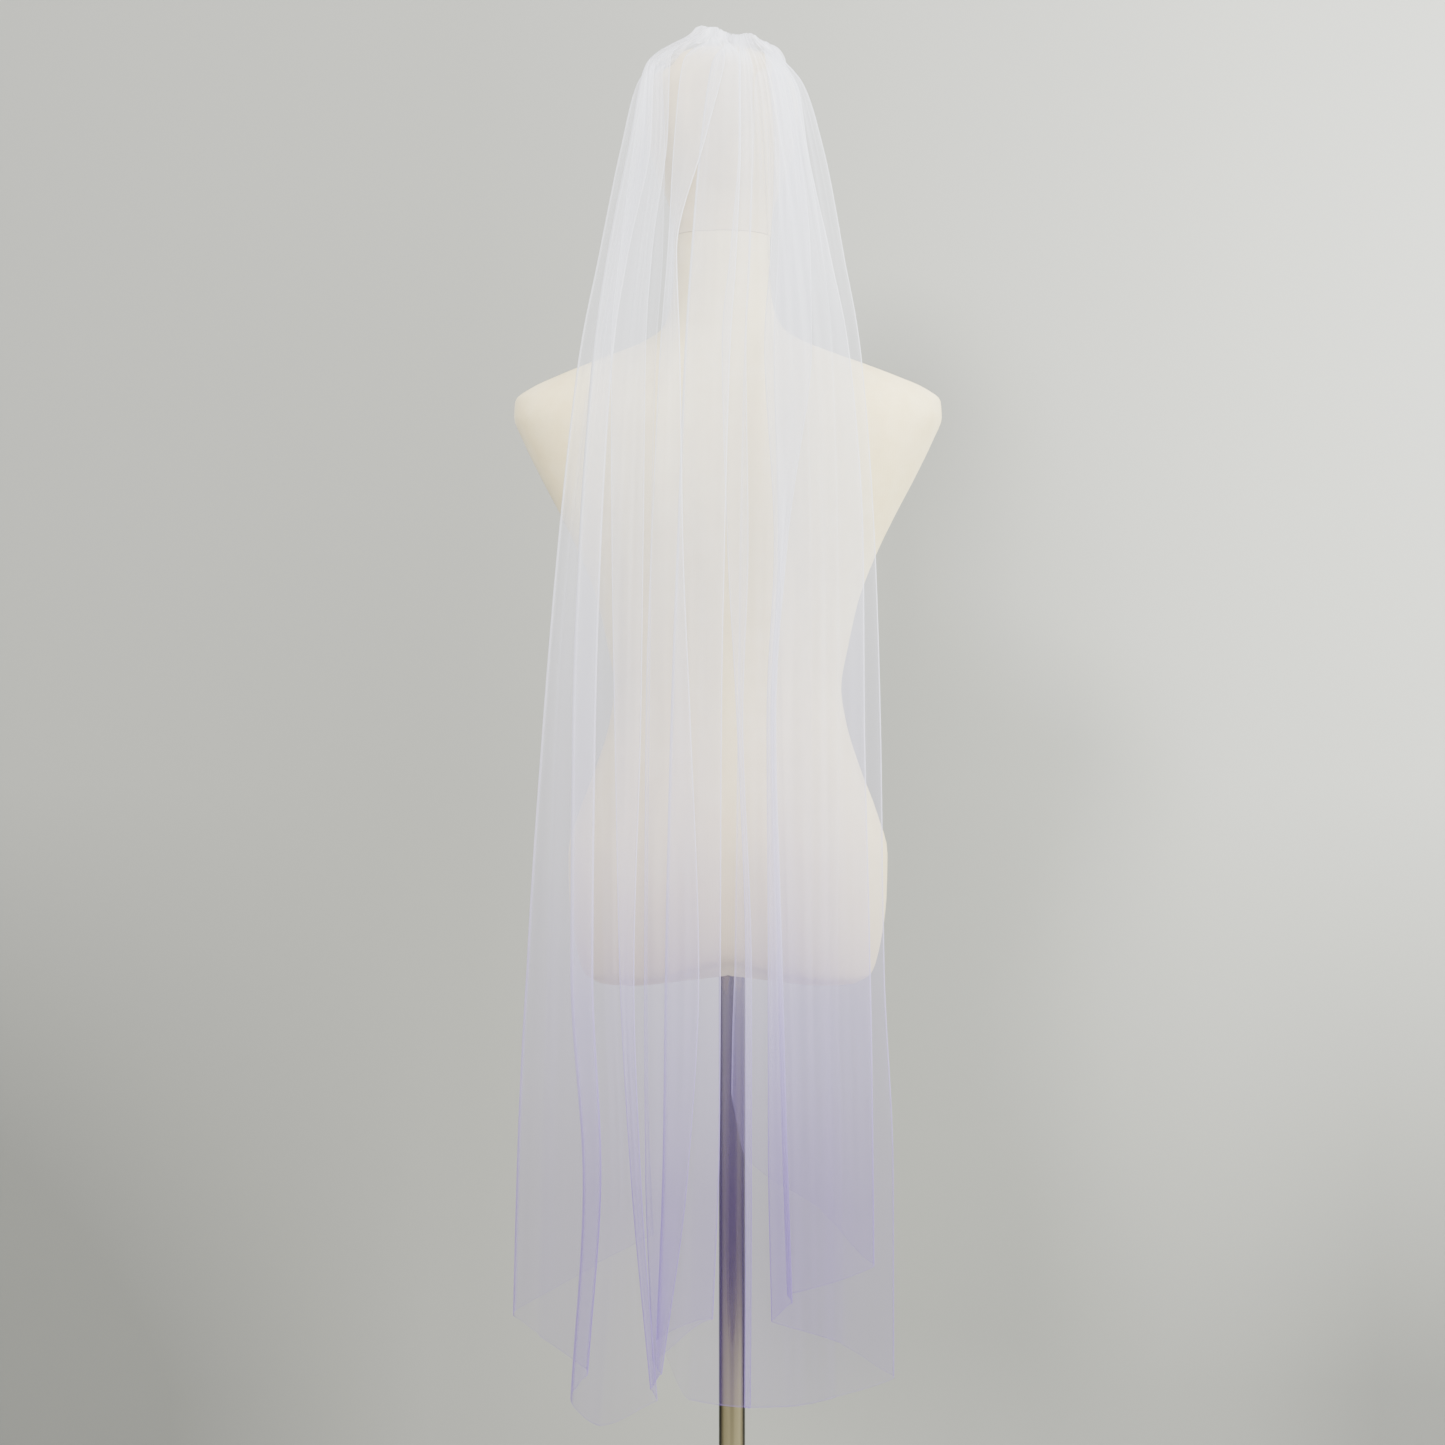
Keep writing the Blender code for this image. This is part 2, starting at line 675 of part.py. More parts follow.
def build_comb(wire):
    """One closed body: the bar is a row of blocks, and every second block runs on into a tooth."""
    pitch = COMB_WIDTH / (COMB_TOOTH_COUNT - 1 + COMB_TOOTH_SHARE)
    edges = []
    for tooth in range(COMB_TOOTH_COUNT):
        start = -0.5 * COMB_WIDTH + tooth * pitch
        edges += [start, start + pitch * COMB_TOOTH_SHARE]
    points = []
    for x in edges:
        drop = crown_drop(x)
        top = COMB_BAR_TOP_Z - drop
        foot = top - COMB_BAR_HEIGHT
        points += [
            (x, COMB_BAR_FRONT_Y, foot),
            (x, COMB_BAR_FRONT_Y, top),
            (x, COMB_BAR_BACK_Y, top),
            (x, COMB_BAR_BACK_Y, foot),
        ]
    faces = [(0, 1, 2, 3)]
    last = 4 * (len(edges) - 1)
    faces.append((last + 3, last + 2, last + 1, last))
    for number in range(len(edges) - 1):
        a = 4 * number
        for corner in range(4):
            if corner == 2 and number % 2 == 0:
                continue
            after = (corner + 1) % 4
            faces.append((a + corner, a + after, a + 4 + after, a + 4 + corner))
    sections = comb_sections()
    for tooth in range(COMB_TOOTH_COUNT):
        left = edges[2 * tooth]
        right = edges[2 * tooth + 1]
        middle = 0.5 * (left + right)
        drop = crown_drop(middle)
        ring = [8 * tooth + 3, 8 * tooth + 2, 8 * tooth + 6, 8 * tooth + 7]
        for step, (y, z, height) in enumerate(sections[1:], start=1):
            narrow = 1.0 + (COMB_TIP_SHARE - 1.0) * step / (len(sections) - 1)
            half = 0.5 * (right - left) * narrow
            a = len(points)
            points += [
                (middle - half, y, z - drop - 0.5 * height),
                (middle - half, y, z - drop + 0.5 * height),
                (middle + half, y, z - drop + 0.5 * height),
                (middle + half, y, z - drop - 0.5 * height),
            ]
            following = [a, a + 1, a + 2, a + 3]
            for corner in range(4):
                after = (corner + 1) % 4
                faces.append((ring[corner], ring[after], following[after], following[corner]))
            ring = following
        faces.append(tuple(ring))
    return add_object("comb", points, faces, wire, smooth=False)


def build_veil(tulle):
    sheet_solid("veil_panel", veil_grid(), CLOTH_WALL, tulle)


def main():
    clear_objects()
    tulle = material("veil_tulle", 0.86, 0.85, 0.90, 0.75)
    jersey = material("form_jersey", 0.80, 0.74, 0.62, 0.85)
    head_cover = material("head_cover", 0.62, 0.52, 0.38, 0.75)
    chrome = material("pole_chrome", 0.70, 0.70, 0.72, 0.15, 1.0)
    plate = material("base_chrome", 0.66, 0.66, 0.68, 0.20, 1.0)
    socket = material("collar_steel", 0.08, 0.08, 0.08, 0.45, 1.0)
    wire = material("comb_wire", 0.75, 0.75, 0.77, 0.30, 1.0)
    build_form(jersey, head_cover)
    build_stand(chrome, plate, socket)
    build_comb(wire)
    build_veil(tulle)


main()
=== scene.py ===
"""Looks of a one-tier bridal veil of soft tulle, white at the crown and dip-dyed lilac at the hem.

The veil is gathered on a comb and hangs down the back of a limbless dress form on a chrome pole.
Metres, +Z up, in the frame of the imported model. The veil hangs on the -Y side.
"""

import bisect
import json
import math

import bmesh
import bpy
from mathutils import Matrix, Vector

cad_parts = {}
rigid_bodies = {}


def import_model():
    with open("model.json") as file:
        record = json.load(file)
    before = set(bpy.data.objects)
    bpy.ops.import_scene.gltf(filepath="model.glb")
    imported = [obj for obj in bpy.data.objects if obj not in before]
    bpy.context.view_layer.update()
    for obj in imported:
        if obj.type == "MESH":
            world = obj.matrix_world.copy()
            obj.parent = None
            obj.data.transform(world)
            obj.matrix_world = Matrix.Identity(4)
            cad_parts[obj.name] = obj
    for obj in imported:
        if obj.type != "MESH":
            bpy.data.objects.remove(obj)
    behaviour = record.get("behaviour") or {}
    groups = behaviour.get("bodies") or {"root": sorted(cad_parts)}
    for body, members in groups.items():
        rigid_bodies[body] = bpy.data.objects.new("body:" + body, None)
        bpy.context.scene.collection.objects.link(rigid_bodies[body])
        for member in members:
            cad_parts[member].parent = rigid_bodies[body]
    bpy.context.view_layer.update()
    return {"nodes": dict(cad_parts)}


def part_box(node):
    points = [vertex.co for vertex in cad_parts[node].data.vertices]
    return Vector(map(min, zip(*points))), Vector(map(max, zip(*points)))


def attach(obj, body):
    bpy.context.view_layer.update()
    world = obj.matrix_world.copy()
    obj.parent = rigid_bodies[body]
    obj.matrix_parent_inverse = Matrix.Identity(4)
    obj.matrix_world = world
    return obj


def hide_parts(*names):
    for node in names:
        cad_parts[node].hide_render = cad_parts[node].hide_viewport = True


# Camera: level, 3.3 m from the form, as the photograph was taken.
CAMERA_PLACE = (-0.0093, -3.3, 1.0205)
CAMERA_LENS = 83.9
CAMERA_SENSOR = 36.0

# Veil: the flat panel before it was gathered.
FLAT_WIDTH = 1.50
COLUMN_STEP = 0.0034
ROWS_PER_LEVEL = (6, 8, 14, 12, 12, 10, 14, 12, 16, 14, 14)
HEM_ROW = 0.9925
FULLNESS_REACH = 6
FULLNESS_MAX = 9.0
TULLE_SHADE = "#EFEFF0"
HEADER_ROWS = 4
HEADER_LENGTH = 0.0100
HEADER_RISE = 0.0030
HEADER_RUFFLE = 0.0016
GATHER_PITCH = 0.0170
GATHER_HALF_WIDTH = 0.0365
CREST_HALF_WIDTH = 0.0440
FOLD_STEPS = (-90.0, -60.0, -30.0, 0.0, 30.0, 60.0, 90.0)
CREASE_TURN = 50.0
FOLD_RADIUS_MIN = 0.0020
FOLD_RADIUS_MAX = 0.0120
SHORT_LEG = 25
LONG_LEG = 60
CROWN_MIDDLE_X = -0.0080
CREST_DROP_RADIUS = 0.100
CREST_PEAK_X = -0.0170
CREST_PEAK_WIDTH = 0.0065
CREST_PEAK_RISE = 0.0045
CREST_SETTLE = 0.0030
CREST_SPAN = 0.5

# Net of the veil: its pitch in metres, and the share of light that threads, the cut edge and fold
# lines stop, with what a fold line gains towards the white end.
NET_PITCH = 0.0026
THREAD_COVER = 0.100
EDGE_COVER = 0.25
FOLD_COVER = 0.42
FOLD_COVER_RISE = 0.40
CLOTH_LAYERS = 1.08

# Levels down the veil, the same as in the solid. Ripple is the height of the fine gathers.
LEVEL_COLUMNS = (
    "name", "height", "middle_y", "half_width", "depth", "spread", "lean", "arch", "arch_x",
    "ripple",
)
LEVELS = (
    ("gather", 1.6880, -0.0220, 0.120, 0.0020, 0.30, 70.0, 1.00, -0.008, 0.0012),
    ("crest", 1.6905, -0.0240, 0.110, 0.0130, 0.32, 56.0, 1.00, -0.008, 0.0014),
    ("bend", 1.6640, -0.0250, 0.105, 0.0400, 0.46, 30.0, 0.50, -0.005, 0.0016),
    ("crown", 1.6420, -0.0250, 0.107, 0.0680, 0.44, 16.0, 0.44, -0.026, 0.0018),
    ("head", 1.5700, -0.0280, 0.140, 0.0770, 0.44, 3.0, 0.15, -0.026, 0.0017),
    ("nape", 1.4650, -0.0280, 0.180, 0.0810, 0.50, 0.0, 0.00, -0.026, 0.0016),
    ("shoulder", 1.3710, -0.0280, 0.240, 0.0840, 0.54, 0.0, 0.00, -0.026, 0.0015),
    ("blade", 1.1900, -0.0280, 0.300, 0.0900, 0.60, 0.0, 0.00, -0.026, 0.0014),
    ("waist", 1.0200, -0.0280, 0.320, 0.0950, 0.66, 0.0, 0.00, -0.026, 0.0013),
    ("hip", 0.7880, -0.0280, 0.340, 0.1020, 0.74, 0.0, 0.00, -0.026, 0.0012),
    ("knee", 0.0, -0.0280, 0.360, 0.1070, 0.82, 0.0, 0.00, -0.026, 0.0010),
    ("hem", 0.0, -0.0280, 0.380, 0.1120, 0.90, 0.0, 0.00, -0.026, 0.0008),
)
CREST_LEVEL = 1
BEND_LEVEL = 2
HIP_LEVEL = 9
BEND_SHARE = 0.1
BEND_SPREAD = 1.25
EDGE_SHARE = 0.985

# Folds from the left edge to the right edge, the same as in the solid: millimetres from the centre
# line at each level, the height of the hem, and how far the cloth after the fold lies out.
FOLD_COLUMNS = (
    "name", "crown", "head", "nape", "shoulder", "blade", "waist", "hip", "knee", "hem", "hem_z",
    "out",
)
CROWN = FOLD_COLUMNS.index("crown")
HEM = FOLD_COLUMNS.index("hem")
HEM_Z = FOLD_COLUMNS.index("hem_z")
OUT = FOLD_COLUMNS.index("out")
FOLDS = (
    ("left_edge", -67, -64, -66, -72, -76, -78, -80, -79, -74, 540, 0),
    ("far_left", -74, -81, -90, -101, -117, -122, -122, -124, -131, 510, 12),
    ("outer_left", -89, -107, -127, -145, -165, -179, -194, -202, -206, 465, 28),
    ("near_left", -83, -93, -113, -131, -154, -166, -173, -177, -181, 449, 38),
    ("a_right", -74, -77, -98, -112, -123, -128, -130, -122, -134, 416, 50),
    ("a_left", -83, -98, -118, -131, -144, -150, -151, -139, -150, 397, 79),
    ("lobe", -77, -79, -92, -103, -117, -122, -118, -111, -122, 374, 79),
    ("b_right", -58, -61, -75, -81, -83, -85, -91, -84, -69, 398, 72),
    ("b_left", -77, -93, -106, -114, -113, -110, -105, -94, -76, 407, 66),
    ("e_right", -7, -25, -52, -49, -46, -39, -31, -41, -65, 420, 61),
    ("e_left", -46, -55, -61, -68, -76, -81, -82, -81, -74, 431, 55),
    ("f_right", 8, 8, 4, -2, -7, -10, -11, -12, -18, 469, 49),
    ("f_left", -19, -30, -39, -45, -52, -58, -63, -65, -71, 446, 30),
    ("panel_left", -12, -19, -24, -28, -32, -33, -35, -37, -41, 391, 34),
    ("c_right", 19, 19, 17, 13, 15, 10, 18, 18, 17, 384, 38),
    ("c_left", 6, 6, -2, -10, -5, 4, 12, 12, 11, 385, 43),
    ("panel_mid", 22, 30, 34, 38, 44, 46, 52, 56, 58, 387, 49),
    ("panel_right", 35, 49, 64, 75, 87, 89, 91, 94, 96, 396, 54),
    ("outer_right", 66, 87, 105, 121, 134, 139, 142, 150, 150, 413, 46),
    ("l_two", 56, 70, 85, 94, 99, 100, 98, 101, 102, 443, 36),
    ("g_left", 33, 40, 36, 30, 39, 32, 33, 33, 36, 464, 30),
    ("g_band_right", 52, 64, 74, 75, 52, 41, 47, 51, 56, 480, 24),
    ("g_band_left", 38, 45, 43, 39, 43, 36, 42, 46, 51, 486, 18),
    ("inner_right", 63, 72, 93, 111, 124, 125, 130, 132, 133, 512, 10),
    ("l_four", 46, 53, 60, 69, 74, 74, 74, 77, 83, 564, 5),
    ("corner_right", 33, 34, 34, 32, 28, 24, 20, 17, 12, 614, 0),
    ("right_edge", 23, 19, 15, 11, 7, 5, 2, 0, -1, 672, 0),
)

# Stretches, named by the fold they follow, where the cloth lies in finer gathers than the folds
# show, and how many times fuller it is there.
BUNCHED = {
    "near_left": 1.5, "a_right": 1.9, "a_left": 1.6, "b_left": 1.5, "e_left": 1.4, "f_right": 1.5,
    "panel_left": 1.3, "c_left": 1.6, "panel_mid": 1.4, "l_two": 1.7, "g_left": 1.7,
    "g_band_right": 2.0, "g_band_left": 1.7, "inner_right": 1.5, "l_four": 1.5, "corner_right": 1.6,
}

# Dress form sections in millimetres: height, middle x, half width, back y, front y, squareness.
TORSO = (
    (768, -4, 128, -98, 78, 2.5),
    (776, -4, 140, -108, 84, 2.5),
    (800, -4, 148, -116, 88, 2.5),
    (850, -4, 155, -121, 94, 2.4),
    (893, -4, 156, -118, 98, 2.4),
    (932, -4, 146, -108, 98, 2.3),
    (980, -4, 128, -92, 92, 2.3),
    (1020, -4, 116, -83, 88, 2.2),
    (1055, -4, 111, -80, 88, 2.2),
    (1096, -4, 118, -83, 95, 2.2),
    (1140, -4, 128, -90, 112, 2.2),
    (1180, -4, 143, -98, 126, 2.3),
    (1220, -4, 162, -105, 122, 2.4),
    (1260, -4, 183, -108, 104, 2.5),
    (1295, -4, 200, -107, 86, 2.6),
    (1318, -4, 209, -103, 72, 2.6),
    (1334, -4, 208, -97, 64, 2.5),
    (1346, -4, 194, -91, 58, 2.4),
    (1358, -5, 168, -84, 54, 2.3),
    (1370, -6, 138, -77, 52, 2.2),
    (1382, -7, 106, -71, 51, 2.1),
    (1394, -8, 77, -64, 51, 2.0),
    (1408, -9, 58, -57, 50, 2.0),
    (1430, -10, 50, -52, 48, 2.0),
    (1462, -10, 47, -49, 47, 2.0),
    (1484, -10, 47, -48, 48, 2.0),
    (1496, -10, 47, -48, 48, 2.0),
)
HEAD = (
    (1496, -10, 48, -49, 50, 2.0),
    (1512, -10, 49, -51, 60, 2.0),
    (1530, -10, 53, -58, 74, 2.0),
    (1552, -10, 62, -75, 84, 2.0),
    (1578, -10, 70, -89, 90, 2.0),
    (1606, -10, 75, -96, 92, 2.0),
    (1630, -10, 74, -94, 88, 2.0),
    (1650, -10, 67, -84, 77, 2.0),
    (1665, -10, 55, -67, 60, 2.0),
    (1675, -10, 38, -46, 39, 2.0),
    (1680, -10, 20, -25, 18, 2.0),
    (1682, -10, 4, -8, 2, 2.0),
)
FORM_SEGMENTS = 96
FORM_BOTTOM_Z = 0.768
FORM_MIDDLE_X = -0.004
RINGS_PER_SECTION = 4
JOINT_GAP = 0.0003
MERGE_DISTANCE = 0.00001
CROTCH_RISE = 0.020
CROTCH_HALF_WIDTH = 0.050
CROTCH_REACH = 0.060
CLEFT_DEPTH = 0.010
CLEFT_HALF_WIDTH = 0.030
CLEFT_Z = 0.840
CLEFT_REACH = 0.075

# Stand.
ROUND_STEPS = 96
EDGE_SEGMENTS = 3
POLE_EDGE = 0.0012
COLLAR_EDGE = 0.0010
BASE_EDGE = 0.0022
BASE_THICKNESS = 0.0140
HUB_RADIUS = 0.0290
SHARP_CORNER = 40.0

# Thread that binds the gathers to the comb.
THREAD_RADIUS = 0.00035
BINDING_BEHIND = 0.0022
BINDING_ABOVE = 0.0004
BINDING_RADIUS = 0.0034
BINDING_COUNT = 24
THREAD_SIDES = 6
THREAD_MERGE = 0.000001
BINDING_STEPS = 14
BINDING_TILT = 14.0
BINDING_TILT_SWAY = 9.0

# Knit of the form's cover. At a scale of one, a wave texture runs through 20 radians a metre.
KNIT_PITCH = 0.0024
WAVE_RADIANS = 20.0

# Studio.
FLOOR_SIZE = 7.0
WALL_Y = 0.60
WALL_HEIGHT = 4.0


def linear(colour):
    """Linear RGBA of an sRGB hex colour."""
    channels = [int(colour[start:start + 2], 16) / 255.0 for start in (1, 3, 5)]
    return [c / 12.92 if c <= 0.04045 else ((c + 0.055) / 1.055) ** 2.4 for c in channels] + [1.0]


def add_node(tree, kind, settings=None, **inputs):
    """A node with its settings, and with each input set to a value or linked to a socket."""
    made = tree.nodes.new(kind)
    for name, value in (settings or {}).items():
        setattr(made, name, value)
    for name, value in inputs.items():
        key = int(name[1:]) if name[1:].isdigit() else name.replace("_", " ")
        if isinstance(value, bpy.types.NodeSocket):
            tree.links.new(value, made.inputs[key])
        else:
            made.inputs[key].default_value = value
    return made


def new_material(name, colour, roughness, metallic=0.0):
    """A Principled material, returned with its node tree and its shader."""
    made = bpy.data.materials.new(name)
    made.use_nodes = True
    tree = made.node_tree
    shader = tree.nodes["Principled BSDF"]
    shader.inputs["Base Color"].default_value = linear(colour)
    shader.inputs["Roughness"].default_value = roughness
    shader.inputs["Metallic"].default_value = metallic
    return made, tree, shader


def wave_scale(pitch):
    """Scale of a wave texture whose bands are one pitch apart, in metres."""
    return 2.0 * math.pi / (WAVE_RADIANS * pitch)


def set_stops(ramp, stops):
    """Colour stops of a ramp, as (place, hex colour)."""
    elements = ramp.color_ramp.elements
    while len(elements) > 1:
        elements.remove(elements[-1])
    elements[0].position, elements[0].color = stops[0][0], linear(stops[0][1])
    for place, colour in stops[1:]:
        elements.new(place).color = linear(colour)


def clear_scene():
    for item in list(bpy.data.objects):
        bpy.data.objects.remove(item, do_unlink=True)


# Curves.

def monotone_slopes(values):
    """Slopes for a curve through the values that never overshoots them."""
    steps = [after - before for before, after in zip(values, values[1:])]
    slopes = [steps[0]]
    for before, after in zip(steps, steps[1:]):
        slopes.append(0.0 if before * after <= 0.0 else 2.0 * before * after / (before + after))
    slopes.append(steps[-1])
    return slopes


def curve_value(values, slopes, place):
    """The curve's value at a place, whole at each value and part of one between them."""
    index = min(max(int(place), 0), len(values) - 2)
    t = place - index
    return (
        values[index] * (1.0 + 2.0 * t) * (1.0 - t) ** 2
        + slopes[index] * t * (1.0 - t) ** 2
        + values[index + 1] * t * t * (3.0 - 2.0 * t)
        + slopes[index + 1] * t * t * (t - 1.0)
    )


def eased(value):
    """A soft step: nothing below zero, and one above one."""
    value = min(max(value, 0.0), 1.0)
    return value * value * (3.0 - 2.0 * value)


# Veil.

def level_curves():
    """One smooth curve down the levels for each column of the level table."""
    curves = {}
    for column, name in enumerate(LEVEL_COLUMNS[1:], start=1):
        values = [row[column] for row in LEVELS]
        if name == "height":
            values = values[:HIP_LEVEL + 1]
        curves[name] = (values, monotone_slopes(values))
    return curves


def stretch_widths():
    """Widest span in millimetres of the cloth between each two folds."""
    return [
        max(abs(after[column] - before[column]) for column in range(CROWN, HEM + 1))
        for before, after in zip(FOLDS, FOLDS[1:])
    ]


def stretch_weights(widths):
    """Share of the gathers that each stretch takes, as in the solid."""
    return [3 if width < SHORT_LEG else 4 if width < LONG_LEG else 5 for width in widths]


def fold_curves(weights):
    """The x of every fold down the levels, with the gathers and the crest put before the table."""
    curves = []
    passed = 0
    for index, fold in enumerate(FOLDS):
        share = 2.0 * passed / sum(weights) - 1.0
        crest = share * CREST_HALF_WIDTH
        bend = crest * BEND_SPREAD * (1.0 - BEND_SHARE) + 0.001 * fold[CROWN] * BEND_SHARE
        values = [share * GATHER_HALF_WIDTH, crest, bend]
        values += [0.001 * millimetres for millimetres in fold[CROWN:HEM + 1]]
        curves.append((values, monotone_slopes(values)))
        if index < len(weights):
            passed += weights[index]
    return curves


def fold_radius(outs, index):
    """Radius of the turn at a fold: half of the step out, within bounds."""
    return min(max(abs(outs[index] - outs[index - 1]) * 0.5, FOLD_RADIUS_MIN), FOLD_RADIUS_MAX)


def fold_reach(step, radius, weight):
    """Distance along the stretch from the fold line to the end of its turn."""
    return math.copysign(min(radius, abs(step) / weight), step)


def veil_columns(widths):
    """Where each column of the cloth lies: (stretch, share of it, degrees of turn or None)."""
    columns = []
    last = len(widths) - 1
    for index, width in enumerate(widths):
        count = max(3, round(0.001 * width / COLUMN_STEP))
        for number in range(0 if index == 0 else 1, count + (1 if index == last else 0)):
            columns.append((index, number / count, None))
        if index < last:
            columns += [(index + 1, 0.0, degrees) for degrees in FOLD_STEPS]
    return columns


def fold_places(widths):
    """How far across the flat panel each fold lies, in metres."""
    places = [0.0]
    for width in widths:
        places.append(places[-1] + width * FLAT_WIDTH / sum(widths))
    return places


def flat_places(columns, widths, weights):
    """How far across the flat panel each column lies, in metres, with room for the turns."""
    folds = fold_places(widths)
    spread = LEVELS[-1][LEVEL_COLUMNS.index("spread")]
    hems = [0.001 * fold[OUT] * spread for fold in FOLDS[:-1]]
    places = []
    for index, share, degrees in columns:
        if degrees is None:
            width = folds[index + 1] - folds[index]
            start = turn_length(hems, index, width, weights) if index > 0 else 0.0
            end = turn_length(hems, index + 1, width, weights) if index < len(weights) - 1 else 0.0
            places.append(folds[index] + start + (width - start - end) * share)
        else:
            before = index - 1 if degrees < 0.0 else index
            width = folds[before + 1] - folds[before]
            places.append(folds[index] + turn_length(hems, index, width, weights) * degrees / 90.0)
    return places


def turn_length(outs, index, width, weights):
    """Length of cloth in half of a turn."""
    return min(0.5 * math.pi * fold_radius(outs, index), width / weights[index - 1])


def smooth_curve(places, values):
    """A function through uneven places and their values that never overshoots them."""
    steps = [
        (after - before) / (end - start)
        for start, end, before, after in zip(places, places[1:], values, values[1:])
    ]
    slopes = [steps[0]]
    for before, after in zip(steps, steps[1:]):
        slopes.append(0.0 if before * after <= 0.0 else 2.0 * before * after / (before + after))
    slopes.append(steps[-1])

    def value_at(place):
        index = min(max(bisect.bisect_right(places, place) - 1, 0), len(steps) - 1)
        span = places[index + 1] - places[index]
        t = (place - places[index]) / span
        return (
            values[index] * (1.0 + 2.0 * t) * (1.0 - t) ** 2
            + slopes[index] * span * t * (1.0 - t) ** 2
            + values[index + 1] * t * t * (3.0 - 2.0 * t)
            + slopes[index + 1] * span * t * t * (t - 1.0)
        )

    return value_at


def column_point(column, xs, outs, weights):
    """(x, out) of a column at one level."""
    index, share, degrees = column
    if degrees is None:
        step = xs[index + 1] - xs[index]
        start = xs[index]
        end = xs[index + 1]
        if index > 0:
            start += fold_reach(step, fold_radius(outs, index), weights[index])
        if index < len(weights) - 1:
            end -= fold_reach(step, fold_radius(outs, index + 1), weights[index])
        first = 0.5 * (outs[index - 1] + outs[index]) if runs_on(xs, index) else outs[index]
        last = 0.5 * (outs[index] + outs[index + 1]) if runs_on(xs, index + 1) else outs[index]
        return start + (end - start) * share, first + (last - first) * eased(share)
    radius = fold_radius(outs, index)
    angle = math.radians(degrees)
    if degrees < 0.0:
        shift = -fold_reach(xs[index] - xs[index - 1], radius, weights[index - 1])
    else:
        shift = fold_reach(xs[index + 1] - xs[index], radius, weights[index])
    middle = 0.5 * (outs[index] + outs[index - 1])
    half = 0.0 if runs_on(xs, index) else 0.5 * (outs[index] - outs[index - 1])
    return xs[index] + shift * (1.0 - math.cos(angle)), middle + half * math.sin(angle)


def bunched_out(column, outs):
    """The distance out at the comb, as one even slope from stretch to stretch."""
    index, share, _ = column
    place = index + share - 0.5
    start = min(max(int(math.floor(place)), 0), len(outs) - 2)
    return outs[start] + (outs[start + 1] - outs[start]) * (place - start)


def runs_on(xs, index):
    """Whether the cloth runs on past this fold line, where at a true fold it turns back."""
    if index <= 0 or index >= len(xs) - 1:
        return False
    return (xs[index] - xs[index - 1]) * (xs[index + 1] - xs[index]) > 0.0


def fold_crease(column, xs):
    """One on the line of a true fold, and nothing where the cloth runs on."""
    index, _, degrees = column
    if degrees is None or runs_on(xs, index):
        return 0.0
    return max(0.0, 1.0 - abs(degrees) / CREASE_TURN)


def bunched_share(column):
    """How many times fuller the cloth of this column is than its folds show."""
    index, _, degrees = column
    here = BUNCHED.get(FOLDS[index][0], 1.0)
    if degrees is None:
        return here
    before = BUNCHED.get(FOLDS[index - 1][0], 1.0)
    return before + (here - before) * (degrees + 90.0) / 180.0


def gather_wave(flat_x):
    """Fine fullness of the net, from minus one to one, fixed to the cloth so that it runs down."""
    turn = 2.0 * math.pi * flat_x / GATHER_PITCH
    wander = 0.9 * math.sin(0.137 * turn + 0.6) + 0.6 * math.sin(0.311 * turn + 2.1)
    swell = 0.65 + 0.35 * math.sin(0.093 * turn + 1.9)
    return swell * (0.7 * math.sin(turn + wander) + 0.3 * math.sin(1.73 * turn + 2.0 * wander))


def crest_ruffle(x):
    """The crest stands up in one peak, left of the middle, and has settled elsewhere."""
    off_peak = (x - CREST_PEAK_X) / CREST_PEAK_WIDTH
    return CREST_PEAK_RISE * math.exp(-(off_peak ** 2)) - CREST_SETTLE


def crown_drop(x, middle_x=CROWN_MIDDLE_X):
    """How far the arch over the crown has fallen at this distance from its middle."""
    return (x - middle_x) ** 2 / (2.0 * CREST_DROP_RADIUS)


def row_places():
    """Rows down the cloth as places in the level table. The header lies above it, below zero."""
    places = [number / HEADER_ROWS - 1.0 for number in range(HEADER_ROWS)] + [0.0]
    for level, count in enumerate(ROWS_PER_LEVEL):
        places += [level + number / count for number in range(1, count + 1)]
    places.insert(-1, places[-1] - 1.0 + HEM_ROW)
    return places


